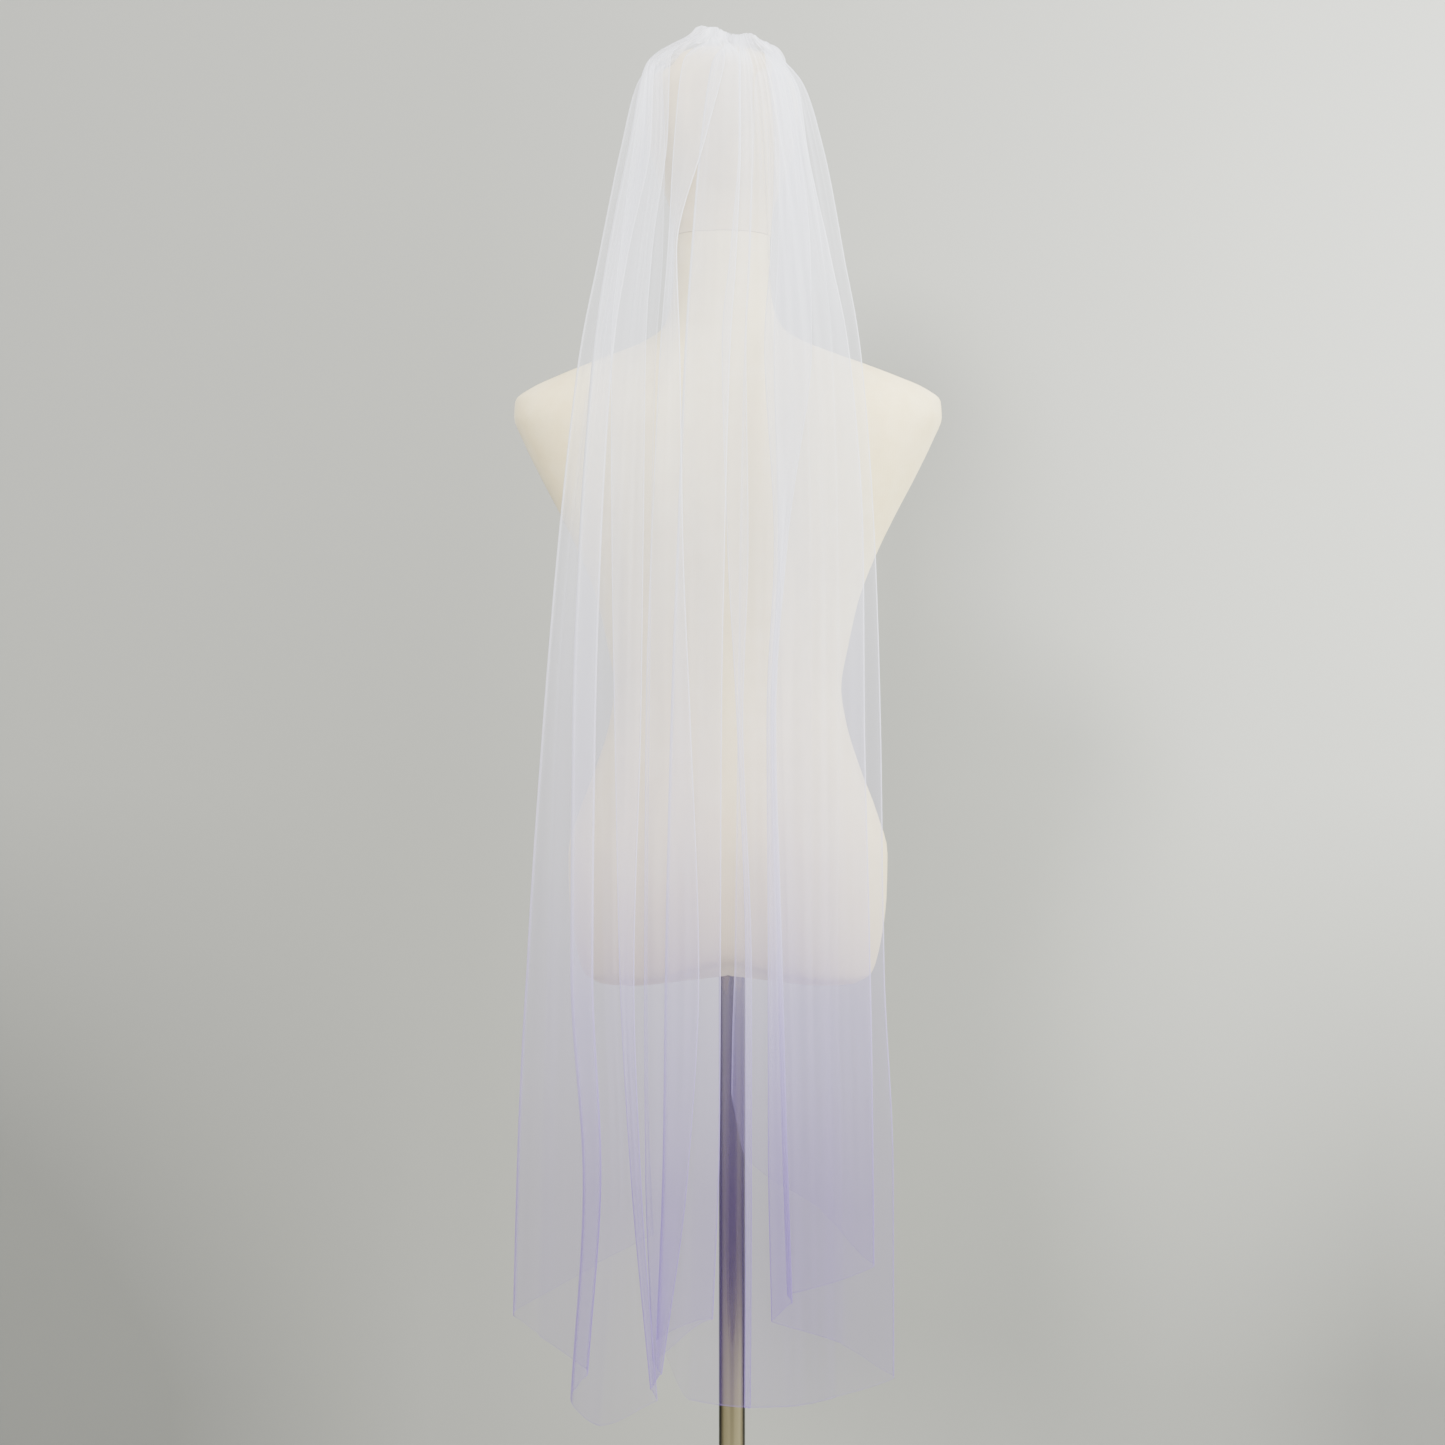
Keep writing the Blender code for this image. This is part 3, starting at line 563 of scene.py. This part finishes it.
def veil_points():
    """Rows of (point, flat place, crease) from the header to the hem."""
    levels = level_curves()
    widths = stretch_widths()
    weights = stretch_weights(widths)
    folds = fold_curves(weights)
    columns = veil_columns(widths)
    flats = flat_places(columns, widths, weights)
    hem_at = smooth_curve(fold_places(widths), [0.001 * fold[HEM_Z] for fold in FOLDS])
    hems = [hem_at(flat_x) for flat_x in flats]
    hip_z = LEVELS[HIP_LEVEL][1]
    lowest = len(LEVELS) - 1
    rows = []
    for place in row_places():
        at = max(place, 0.0)
        value = {name: curve_value(*curve, at) for name, curve in levels.items()}
        xs = [curve_value(*fold, at) for fold in folds]
        outs = [0.001 * fold[OUT] * value["spread"] for fold in FOLDS[:-1]]
        folded = eased(at - BEND_LEVEL)
        laid = eased(at - CREST_LEVEL)
        crest = math.exp(-((at - CREST_LEVEL) ** 2) / CREST_SPAN)
        lean = math.radians(value["lean"])
        header = max(-place, 0.0)
        row = []
        for column, flat_x, hem in zip(columns, flats, hems):
            x, out = column_point(column, xs, outs, weights)
            out = (out * folded + bunched_out(column, outs) * (1.0 - folded)) * laid
            wave = gather_wave(flat_x)
            out += value["ripple"] * wave
            if at <= HIP_LEVEL:
                height = value["height"]
            else:
                height = hip_z + (hem - hip_z) * (at - HIP_LEVEL) / (lowest - HIP_LEVEL)
            height += out * math.sin(lean) - value["arch"] * crown_drop(x, value["arch_x"])
            height += crest * crest_ruffle(x)
            height += header * (HEADER_RISE + HEADER_RUFFLE * wave)
            back = out * math.cos(lean)
            across = min(abs(x) / (value["half_width"] + back), EDGE_SHARE)
            y = value["middle_y"] - (value["depth"] + back) * math.sqrt(1.0 - across * across)
            y += header * HEADER_LENGTH
            crease = fold_crease(column, xs) * folded
            row.append(((x, y, height), flat_x, crease))
        rows.append(row)
    return rows


def fullness(row, c):
    """How many times more cloth there is here than the mesh holds, from the finest gathers."""
    low = max(c - FULLNESS_REACH, 0)
    high = min(c + FULLNESS_REACH, len(row) - 1)
    shown = sum(math.dist(row[n][0], row[n + 1][0]) for n in range(low, high))
    return min(max((row[high][1] - row[low][1]) / shown, 1.0), FULLNESS_MAX)


def build_veil(tulle):
    """The whole panel as one thin sheet, on a flat grid whose points are moved to their folds."""
    rows = veil_points()
    bunching = [bunched_share(column) for column in veil_columns(stretch_widths())]
    columns = len(rows[0])
    shape = bmesh.new()
    flat = shape.loops.layers.uv.new("flat_cloth")
    crease = shape.verts.layers.float.new("crease")
    edge = shape.verts.layers.float.new("edge")
    full = shape.verts.layers.float.new("fullness")
    bmesh.ops.create_grid(shape, x_segments=columns - 1, y_segments=len(rows) - 1, size=1.0)
    lengths = [0.0] * columns
    downs = []
    for number, row in enumerate(rows):
        if number > 0:
            above = rows[number - 1]
            lengths = [
                so_far + math.dist(here[0], over[0])
                for so_far, here, over in zip(lengths, row, above)
            ]
        downs.append(lengths)
    for vert in shape.verts:
        c = round((vert.co.x + 1.0) * 0.5 * (columns - 1))
        r = round((1.0 - vert.co.y) * 0.5 * (len(rows) - 1))
        point, flat_x, fold = rows[r][c]
        vert.co = point
        vert[crease] = fold
        vert[full] = fullness(rows[r], c) * bunching[c]
        vert[edge] = 1.0 if r in (0, len(rows) - 1) or c in (0, columns - 1) else 0.0
        for loop in vert.link_loops:
            loop[flat].uv = (flat_x, downs[r][c])
    return finish_mesh("veil_drape", shape, tulle, ("veil_panel",), facing=(0, -1, 0))


# Meshes.

def finish_mesh(name, shape, finish, nodes, facing=None, sharp=None):
    """An object at the origin from a bmesh, which rides on the part and stands for its nodes."""
    bmesh.ops.recalc_face_normals(shape, faces=shape.faces)
    if facing is not None:
        lead = sum((face.normal * face.calc_area() for face in shape.faces), Vector())
        if lead.dot(Vector(facing)) < 0.0:
            bmesh.ops.reverse_faces(shape, faces=shape.faces)
    for face in shape.faces:
        face.smooth = True
    mesh = bpy.data.meshes.new(name)
    shape.to_mesh(mesh)
    shape.free()
    mesh.materials.append(finish)
    if sharp is not None:
        mesh.set_sharp_from_angle(angle=math.radians(sharp))
    item = bpy.data.objects.new(name, mesh)
    bpy.context.scene.collection.objects.link(item)
    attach(item, "root")
    if nodes:
        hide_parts(*nodes)
    return item


def section_point(section, angle):
    """A point of one rounded section of the form. Angle zero points right, and the back is -Y."""
    height, middle_x, half_width, back, front, power = section
    cosine = math.cos(angle)
    sine = math.sin(angle)
    x = math.copysign(abs(cosine) ** (2.0 / power), cosine) * half_width
    y = math.copysign(abs(sine) ** (2.0 / power), sine) * (front if sine > 0.0 else -back)
    return [0.001 * (x + middle_x), 0.001 * y, 0.001 * height]


def smooth_sections(table):
    """More sections between those of a table, on smooth curves."""
    curves = []
    for column in range(len(table[0])):
        values = [float(row[column]) for row in table]
        curves.append((values, monotone_slopes(values)))
    count = (len(table) - 1) * RINGS_PER_SECTION
    return [
        tuple(curve_value(*curve, number / RINGS_PER_SECTION) for curve in curves)
        for number in range(count + 1)
    ]


def lofted_shape(table, reshape=None):
    """A closed bmesh through the sections, rolled from a flat grid and filled at both ends."""
    sections = smooth_sections(table)
    shape = bmesh.new()
    rings = len(sections) - 1
    bmesh.ops.create_grid(shape, x_segments=FORM_SEGMENTS, y_segments=rings, size=1.0)
    for vert in shape.verts:
        angle = math.pi * (vert.co.x + 1.0)
        ring = round((vert.co.y + 1.0) * 0.5 * rings)
        point = section_point(sections[ring], angle)
        vert.co = reshape(point) if reshape else point
    bmesh.ops.remove_doubles(shape, verts=shape.verts, dist=MERGE_DISTANCE)
    rims = [edge for edge in shape.edges if edge.is_boundary]
    caps = bmesh.ops.holes_fill(shape, edges=rims, sides=0)["faces"]
    bmesh.ops.poke(shape, faces=caps)
    return shape


def torso_reshape(point):
    """Raises the middle of the underside and presses in the cleft at the back."""
    x = point[0] - FORM_MIDDLE_X
    low = max(0.0, 1.0 - (point[2] - FORM_BOTTOM_Z) / CROTCH_REACH)
    point[2] += CROTCH_RISE * low * math.exp(-((x / CROTCH_HALF_WIDTH) ** 2))
    if point[1] < 0.0:
        level = math.exp(-(((point[2] - CLEFT_Z) / CLEFT_REACH) ** 2))
        point[1] += CLEFT_DEPTH * level * math.exp(-((x / CLEFT_HALF_WIDTH) ** 2))
    return point


def head_reshape(point):
    """Lifts the head off the neck by the joint's gap."""
    point[2] += JOINT_GAP
    return point


def build_form(jersey, cover):
    body = lofted_shape(TORSO, torso_reshape)
    finish_mesh("form_body", body, jersey, ("form_torso",), sharp=SHARP_CORNER)
    skull = lofted_shape(HEAD, head_reshape)
    finish_mesh("form_skull", skull, cover, ("form_head",), sharp=SHARP_CORNER)


def turned_shape(profile, edge, closed=False):
    """A bmesh turned about the pole's centre line from (radius, height) pairs, edges rounded."""
    shape = bmesh.new()
    verts = [shape.verts.new((radius, 0.0, height)) for radius, height in profile]
    edges = [shape.edges.new(pair) for pair in zip(verts, verts[1:])]
    if closed:
        edges.append(shape.edges.new((verts[-1], verts[0])))
    bmesh.ops.spin(
        shape, geom=verts + edges, cent=(0, 0, 0), axis=(0, 0, 1), dvec=(0, 0, 0),
        angle=2.0 * math.pi, steps=ROUND_STEPS, use_merge=True, use_normal_flip=False,
        use_duplicate=False,
    )
    bmesh.ops.remove_doubles(shape, verts=shape.verts, dist=MERGE_DISTANCE)
    bmesh.ops.recalc_face_normals(shape, faces=shape.faces)
    sharp = math.radians(SHARP_CORNER)
    corners = [e for e in shape.edges if e.is_manifold and e.calc_face_angle(0.0) > sharp]
    bmesh.ops.bevel(
        shape, geom=corners, offset=edge, offset_type="OFFSET", affect="EDGES",
        segments=EDGE_SEGMENTS, profile=0.5, material=-1, clamp_overlap=True,
    )
    return shape


def build_stand(chrome, plate, socket):
    foot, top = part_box("pole")
    radius = top.x
    pole = ((0.0, foot.z), (radius, foot.z), (radius, top.z), (0.0, top.z))
    finish_mesh(
        "pole_tube", turned_shape(pole, POLE_EDGE), chrome, ("pole",),
        sharp=SHARP_CORNER,
    )
    low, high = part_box("pole_collar")
    hole = radius + JOINT_GAP
    collar = ((hole, low.z), (high.x, low.z), (high.x, high.z), (hole, high.z))
    finish_mesh(
        "socket_ring", turned_shape(collar, COLLAR_EDGE, closed=True), socket,
        ("pole_collar",), sharp=SHARP_CORNER,
    )
    low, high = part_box("base_plate")
    base = (
        (0.0, low.z), (high.x, low.z), (high.x, BASE_THICKNESS), (HUB_RADIUS, BASE_THICKNESS),
        (HUB_RADIUS, high.z), (hole, high.z), (hole, foot.z - JOINT_GAP), (0.0, foot.z - JOINT_GAP),
    )
    finish_mesh(
        "base_disc", turned_shape(base, BASE_EDGE), plate, ("base_plate",),
        sharp=SHARP_CORNER,
    )


def build_binding(thread):
    """Turns of thread that sew the gathers to the comb's bar, in one mesh."""
    low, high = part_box("comb")
    shape = bmesh.new()
    span = high.x - low.x
    for number in range(BINDING_COUNT):
        x = low.x + span * (number + 0.5) / BINDING_COUNT
        ring = bmesh.ops.create_circle(shape, segments=THREAD_SIDES, radius=THREAD_RADIUS)["verts"]
        centre = Vector((x, high.y - BINDING_BEHIND, high.z + BINDING_ABOVE - crown_drop(x)))
        tilt = BINDING_TILT + BINDING_TILT_SWAY * math.sin(2.3 * number)
        turn = Matrix.Rotation(math.radians(tilt), 3, "Z")
        for vert in ring:
            vert.co = centre + Vector((vert.co.x, 0.0, vert.co.y + BINDING_RADIUS))
        edges = [e for e in shape.edges if all(v in ring for v in e.verts)]
        bmesh.ops.spin(
            shape, geom=ring + edges, cent=centre, axis=turn @ Vector((1, 0, 0)), dvec=(0, 0, 0),
            angle=2.0 * math.pi, steps=BINDING_STEPS, use_merge=True, use_normal_flip=False,
            use_duplicate=False,
        )
    bmesh.ops.remove_doubles(shape, verts=shape.verts, dist=THREAD_MERGE)
    return finish_mesh("comb_binding", shape, thread, ())


# Finishes.

def tulle_finish():
    """Soft nylon tulle, dip-dyed: a fine net that lets most light through.

    One layer is a haze, and folds, overlaps and the cut edge read as denser lines.
    """
    made, tree, shader = new_material("soft_nylon_tulle", "#F4F3F6", 0.65)
    place = add_node(tree, "ShaderNodeTexCoord")
    parts = add_node(tree, "ShaderNodeSeparateXYZ", Vector=place.outputs["Object"])
    cloud = add_node(
        tree, "ShaderNodeTexNoise", Vector=place.outputs["Object"], Scale=6.0, Detail=2.0,
    )
    drift = add_node(
        tree, "ShaderNodeMath", {"operation": "MULTIPLY_ADD"},
        _0=cloud.outputs["Fac"], _1=0.10, _2=parts.outputs["Z"],
    )
    fade = add_node(
        tree, "ShaderNodeMapRange", Value=drift.outputs["Value"],
        From_Min=0.42, From_Max=1.30, To_Min=0.0, To_Max=1.0,
    )
    dye = add_node(tree, "ShaderNodeValToRGB", Fac=fade.outputs["Result"])
    set_stops(dye, (
        (0.0, "#7560A2"), (0.24, "#7964A5"), (0.42, "#9F93C2"), (0.60, "#C5C0DA"), (1.0, "#D9DBE4"),
    ))
    tree.links.new(dye.outputs["Color"], shader.inputs["Base Color"])
    # The holes of the net are 1.2 mm, too fine to show from 3.3 m, so it is drawn at 2.6 mm.
    flat = add_node(tree, "ShaderNodeUVMap", {"uv_map": "flat_cloth"})
    net = add_node(
        tree, "ShaderNodeTexVoronoi", {"feature": "DISTANCE_TO_EDGE", "voronoi_dimensions": "2D"},
        Vector=flat.outputs["UV"], Scale=1.0 / NET_PITCH, Randomness=0.6,
    )
    threads = add_node(
        tree, "ShaderNodeMapRange", Value=net.outputs["Distance"],
        From_Min=0.05, From_Max=0.30, To_Min=1.14, To_Max=0.95,
    )
    crease = add_node(tree, "ShaderNodeAttribute", {"attribute_name": "crease"})
    edge = add_node(tree, "ShaderNodeAttribute", {"attribute_name": "edge"})
    base = add_node(
        tree, "ShaderNodeMath", {"operation": "MULTIPLY"},
        _0=threads.outputs["Result"], _1=THREAD_COVER,
    )
    # The white end was pressed less flat, so its fold lines catch more light.
    press = add_node(
        tree, "ShaderNodeMath", {"operation": "MULTIPLY_ADD"},
        _0=fade.outputs["Result"], _1=FOLD_COVER_RISE, _2=FOLD_COVER,
    )
    folded = add_node(
        tree, "ShaderNodeMath", {"operation": "MULTIPLY_ADD"},
        _0=crease.outputs["Fac"], _1=press.outputs["Value"], _2=base.outputs["Value"],
    )
    cover = add_node(
        tree, "ShaderNodeMath", {"operation": "MULTIPLY_ADD"},
        _0=edge.outputs["Fac"], _1=EDGE_COVER, _2=folded.outputs["Value"],
    )
    # Seen edge-on, a net closes up: its open share is raised to one over the slant's cosine.
    slant = add_node(tree, "ShaderNodeLayerWeight", Blend=0.5)
    cosine = add_node(
        tree, "ShaderNodeMath", {"operation": "SUBTRACT"}, _0=1.08, _1=slant.outputs["Facing"],
    )
    full = add_node(tree, "ShaderNodeAttribute", {"attribute_name": "fullness"})
    layers = add_node(
        tree, "ShaderNodeMath", {"operation": "MULTIPLY"}, _0=full.outputs["Fac"], _1=CLOTH_LAYERS,
    )
    times = add_node(
        tree, "ShaderNodeMath", {"operation": "DIVIDE"},
        _0=layers.outputs["Value"], _1=cosine.outputs["Value"],
    )
    gap = add_node(
        tree, "ShaderNodeMath", {"operation": "SUBTRACT", "use_clamp": True},
        _0=1.0, _1=cover.outputs["Value"],
    )
    open_share = add_node(
        tree, "ShaderNodeMath", {"operation": "POWER"},
        _0=gap.outputs["Value"], _1=times.outputs["Value"],
    )
    alpha = add_node(
        tree, "ShaderNodeMath", {"operation": "SUBTRACT", "use_clamp": True},
        _0=1.0, _1=open_share.outputs["Value"],
    )
    tree.links.new(alpha.outputs["Value"], shader.inputs["Alpha"])
    shader.inputs["Specular IOR Level"].default_value = 0.25
    shader.inputs["Sheen Weight"].default_value = 0.15
    shader.inputs["Sheen Roughness"].default_value = 0.5
    # Its shadow is one even haze, which the eye can't tell from the net's own.
    ray = add_node(tree, "ShaderNodeLightPath")
    haze = add_node(tree, "ShaderNodeBsdfTransparent", Color=linear(TULLE_SHADE))
    mix = add_node(
        tree, "ShaderNodeMixShader", _0=ray.outputs["Is Shadow Ray"],
        _1=shader.outputs["BSDF"], _2=haze.outputs["BSDF"],
    )
    tree.links.new(mix.outputs["Shader"], tree.nodes["Material Output"].inputs["Surface"])
    return made


def jersey_finish():
    """Stretched cotton jersey over a padded form: matt cream, a fine knit, faint mottling and
    painted shade low down.
    """
    made, tree, shader = new_material("stretched_cotton_jersey", "#E6DCC6", 0.88)
    place = add_node(tree, "ShaderNodeTexCoord")
    blotch = add_node(
        tree, "ShaderNodeTexNoise", Vector=place.outputs["Object"],
        Scale=38.0, Detail=6.0, Roughness=0.65,
    )
    tone = add_node(tree, "ShaderNodeValToRGB", Fac=blotch.outputs["Fac"])
    set_stops(tone, ((0.30, "#E1D09F"), (0.48, "#E7D7A8"), (0.72, "#ECDEB4")))
    # Painted shade: the cover turns greyer and darker towards its lower end, where the lamps above
    # light it less.
    parts = add_node(tree, "ShaderNodeSeparateXYZ", Vector=place.outputs["Object"])
    painted_low_shade = add_node(
        tree, "ShaderNodeMapRange", Value=parts.outputs["Z"],
        From_Min=1.05, From_Max=0.80, To_Min=0.0, To_Max=0.75,
    )
    shaded_cover_tone = add_node(
        tree, "ShaderNodeMix", {"data_type": "RGBA"},
        _0=painted_low_shade.outputs["Result"], _6=tone.outputs["Color"], _7=linear("#BFAF92"),
    )
    tree.links.new(shaded_cover_tone.outputs[2], shader.inputs["Base Color"])
    # Ribs of the knit are 0.9 mm apart, drawn at 2.4 mm so that they show.
    ribs = add_node(
        tree, "ShaderNodeTexWave", {"wave_type": "BANDS", "bands_direction": "X"},
        Vector=place.outputs["Object"], Scale=wave_scale(KNIT_PITCH), Distortion=1.5, Detail=2.0,
    )
    grain = add_node(
        tree, "ShaderNodeTexNoise", Vector=place.outputs["Object"], Scale=900.0, Detail=2.0,
    )
    relief = add_node(
        tree, "ShaderNodeMath", {"operation": "MULTIPLY_ADD"},
        _0=ribs.outputs["Fac"], _1=0.5, _2=grain.outputs["Fac"],
    )
    bump = add_node(
        tree, "ShaderNodeBump", Height=relief.outputs["Value"], Strength=0.14, Distance=0.0006,
    )
    tree.links.new(bump.outputs["Normal"], shader.inputs["Normal"])
    shader.inputs["Sheen Weight"].default_value = 0.2
    shader.inputs["Specular IOR Level"].default_value = 0.3
    return made


def cover_finish():
    """Smooth beige suede-like cover of the head, with a soft nap."""
    made, tree, shader = new_material("beige_napped_cover", "#CDB899", 0.85)
    place = add_node(tree, "ShaderNodeTexCoord")
    nap = add_node(
        tree, "ShaderNodeTexNoise", Vector=place.outputs["Object"], Scale=60.0, Detail=5.0,
    )
    tone = add_node(tree, "ShaderNodeValToRGB", Fac=nap.outputs["Fac"])
    set_stops(tone, ((0.30, "#D2BF95"), (0.52, "#D8C69E"), (0.75, "#DDCDA8")))
    tree.links.new(tone.outputs["Color"], shader.inputs["Base Color"])
    bump = add_node(
        tree, "ShaderNodeBump", Height=nap.outputs["Fac"], Strength=0.15, Distance=0.0005,
    )
    tree.links.new(bump.outputs["Normal"], shader.inputs["Normal"])
    shader.inputs["Sheen Weight"].default_value = 0.3
    return made


def chrome_finish(name, roughness, stretch):
    """Chromed steel: a mirror with faint polishing marks, and a painted reflection in its colour.
    """
    made, tree, shader = new_material(name, "#7A7466", roughness, 1.0)
    # Painted reflection: the base colour is brownish, with a light band near the middle and dark
    # edges where the surface turns away, as of a room mirrored in it.
    slant = add_node(tree, "ShaderNodeLayerWeight", Blend=0.5)
    turned = add_node(tree, "ShaderNodeValToRGB", Fac=slant.outputs["Facing"])
    set_stops(turned, (
        (0.0, "#555040"), (0.05, "#7F785F"), (0.20, "#7F785F"), (0.45, "#3B372B"), (1.0, "#322F27"),
    ))
    tree.links.new(turned.outputs["Color"], shader.inputs["Base Color"])
    place = add_node(tree, "ShaderNodeTexCoord")
    along = add_node(tree, "ShaderNodeMapping", Vector=place.outputs["Object"], Scale=stretch)
    marks = add_node(
        tree, "ShaderNodeTexNoise", Vector=along.outputs["Vector"], Scale=400.0, Detail=3.0,
    )
    sheen = add_node(
        tree, "ShaderNodeMapRange", Value=marks.outputs["Fac"],
        From_Min=0.3, From_Max=0.7, To_Min=roughness * 0.8, To_Max=roughness * 1.5,
    )
    tree.links.new(sheen.outputs["Result"], shader.inputs["Roughness"])
    return made


def socket_finish():
    """Black enamelled steel: a thin satin coat with a few rubbed places."""
    made, tree, shader = new_material("black_enamelled_steel", "#2A2A2B", 0.4, 0.2)
    place = add_node(tree, "ShaderNodeTexCoord")
    rub = add_node(
        tree, "ShaderNodeTexNoise", Vector=place.outputs["Object"], Scale=140.0, Detail=4.0,
    )
    tone = add_node(tree, "ShaderNodeValToRGB", Fac=rub.outputs["Fac"])
    set_stops(tone, ((0.40, "#262627"), (0.62, "#2F2F30"), (0.75, "#4A4A4A")))
    tree.links.new(tone.outputs["Color"], shader.inputs["Base Color"])
    return made


def wire_finish():
    """Silver-plated steel wire of the comb, drawn and lightly brushed."""
    made, tree, shader = new_material("silver_plated_wire", "#D5D5D8", 0.28, 1.0)
    place = add_node(tree, "ShaderNodeTexCoord")
    draw = add_node(
        tree, "ShaderNodeTexNoise", Vector=place.outputs["Object"], Scale=700.0, Detail=2.0,
    )
    sheen = add_node(
        tree, "ShaderNodeMapRange", Value=draw.outputs["Fac"], To_Min=0.2, To_Max=0.42,
    )
    tree.links.new(sheen.outputs["Result"], shader.inputs["Roughness"])
    return made


def thread_finish():
    """White spun polyester sewing thread, with a twist of its two plies."""
    made, tree, shader = new_material("spun_polyester_thread", "#F3F2F0", 0.7)
    place = add_node(tree, "ShaderNodeTexCoord")
    # The plies turn once in 1 mm, too fine to show from 3.3 m, so they are drawn at 3.6 mm.
    plies = add_node(
        tree, "ShaderNodeTexWave", {"wave_type": "BANDS", "bands_direction": "DIAGONAL"},
        Vector=place.outputs["Object"], Scale=100.0,
    )
    bump = add_node(
        tree, "ShaderNodeBump", Height=plies.outputs["Fac"], Strength=0.3, Distance=0.0002,
    )
    tree.links.new(bump.outputs["Normal"], shader.inputs["Normal"])
    return made


# Studio.

def plane(name, finish, corners):
    """A flat stage piece."""
    shape = bmesh.new()
    shape.faces.new([shape.verts.new(corner) for corner in corners])
    mesh = bpy.data.meshes.new(name)
    shape.to_mesh(mesh)
    shape.free()
    mesh.materials.append(finish)
    item = bpy.data.objects.new(name, mesh)
    bpy.context.scene.collection.objects.link(item)
    return item


def wall_finish():
    """Matt grey wall paint with painted shade, seen from the front only, so that other views look
    through its back.
    """
    made, tree, shader = new_material("matt_wall_paint", "#959690", 0.95)
    shader.inputs["Specular IOR Level"].default_value = 0.1
    # Painted shade: the paint darkens towards the floor, in the lower corners away from the middle,
    # and towards the left, where the lamps light the wall less.
    place = add_node(tree, "ShaderNodeTexCoord")
    parts = add_node(tree, "ShaderNodeSeparateXYZ", Vector=place.outputs["Object"])
    low = add_node(
        tree, "ShaderNodeMapRange", Value=parts.outputs["Z"],
        From_Min=0.95, From_Max=0.25, To_Min=0.0, To_Max=1.0,
    )
    offset = add_node(
        tree, "ShaderNodeMath", {"operation": "SUBTRACT"}, _0=parts.outputs["X"], _1=-0.10,
    )
    away = add_node(tree, "ShaderNodeMath", {"operation": "ABSOLUTE"}, _0=offset.outputs["Value"])
    outer = add_node(
        tree, "ShaderNodeMapRange", Value=away.outputs["Value"],
        From_Min=0.25, From_Max=0.85, To_Min=0.0, To_Max=1.0,
    )
    corner = add_node(
        tree, "ShaderNodeMath", {"operation": "MULTIPLY"},
        _0=low.outputs["Result"], _1=outer.outputs["Result"],
    )
    left = add_node(
        tree, "ShaderNodeMapRange", Value=parts.outputs["X"],
        From_Min=0.60, From_Max=-0.30, To_Min=0.0, To_Max=0.50,
    )
    shade = add_node(
        tree, "ShaderNodeMath", {"operation": "ADD", "use_clamp": True},
        _0=corner.outputs["Value"], _1=left.outputs["Result"],
    )
    tone = add_node(tree, "ShaderNodeValToRGB", Fac=shade.outputs["Value"])
    set_stops(tone, ((0.0, "#9B9C97"), (1.0, "#6E6F6C")))
    tree.links.new(tone.outputs["Color"], shader.inputs["Base Color"])
    side = add_node(tree, "ShaderNodeNewGeometry")
    clear = add_node(tree, "ShaderNodeBsdfTransparent")
    mix = add_node(
        tree, "ShaderNodeMixShader", _0=side.outputs["Backfacing"],
        _1=shader.outputs["BSDF"], _2=clear.outputs["BSDF"],
    )
    tree.links.new(mix.outputs["Shader"], tree.nodes["Material Output"].inputs["Surface"])
    return made


def build_studio():
    floor, _, _ = new_material("pale_floor_paint", "#C9C8C2", 0.8)
    half = 0.5 * FLOOR_SIZE
    plane("floor", floor, ((-half, -half, 0), (half, -half, 0), (half, half, 0), (-half, half, 0)))
    plane("wall", wall_finish(), (
        (-half, WALL_Y, 0), (half, WALL_Y, 0),
        (half, WALL_Y, WALL_HEIGHT), (-half, WALL_Y, WALL_HEIGHT),
    ))


def add_light(name, place, target, size, power, colour):
    """A square area light, aimed at a point, in metres and watts."""
    lamp = bpy.data.lights.new(name, "AREA")
    lamp.shape = "SQUARE"
    lamp.size = size
    lamp.energy = power
    lamp.color = linear(colour)[:3]
    item = bpy.data.objects.new(name, lamp)
    item.location = place
    item.rotation_euler = (Vector(target) - Vector(place)).to_track_quat("-Z", "Y").to_euler()
    bpy.context.scene.collection.objects.link(item)


def build_lights():
    add_light("key", (-0.75, -2.15, 2.45), (0.3, 0.6, 1.40), 0.5, 146.0, "#FFFDF8")
    add_light("fill", (1.25, -2.0, 2.5), (0.2, 0.6, 1.45), 1.5, 51.0, "#FFFFFF")
    add_light("top", (0.0, -0.5, 3.4), (0.0, 0.0, 1.2), 1.6, 55.0, "#FFFFFF")
    add_light("wall_wash", (1.9, -0.5, 1.75), (1.00, 0.6, 1.15), 0.7, 134.0, "#FDFFFA")
    world = bpy.data.worlds.new("studio_air")
    world.use_nodes = True
    world.node_tree.nodes["Background"].inputs["Color"].default_value = linear("#DCDEDF")
    world.node_tree.nodes["Background"].inputs["Strength"].default_value = 0.74
    bpy.context.scene.world = world


def build_camera():
    lens = bpy.data.cameras.new("camera")
    lens.lens = CAMERA_LENS
    lens.sensor_width = CAMERA_SENSOR
    item = bpy.data.objects.new("camera", lens)
    item.location = CAMERA_PLACE
    item.rotation_euler = (math.radians(90.0), 0.0, 0.0)
    bpy.context.scene.collection.objects.link(item)
    bpy.context.scene.camera = item


clear_scene()
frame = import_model()
build_camera()
build_lights()
build_studio()
bpy.context.scene.cycles.transparent_max_bounces = 48
veil = build_veil(tulle_finish())
build_form(jersey_finish(), cover_finish())
build_stand(
    chrome_finish("polished_chrome_tube", 0.10, (1.0, 1.0, 0.02)),
    chrome_finish("brushed_chrome_plate", 0.22, (1.0, 1.0, 1.0)),
    socket_finish(),
)
binding = build_binding(thread_finish())
frame["nodes"]["comb"].data.materials.clear()
frame["nodes"]["comb"].data.materials.append(wire_finish())
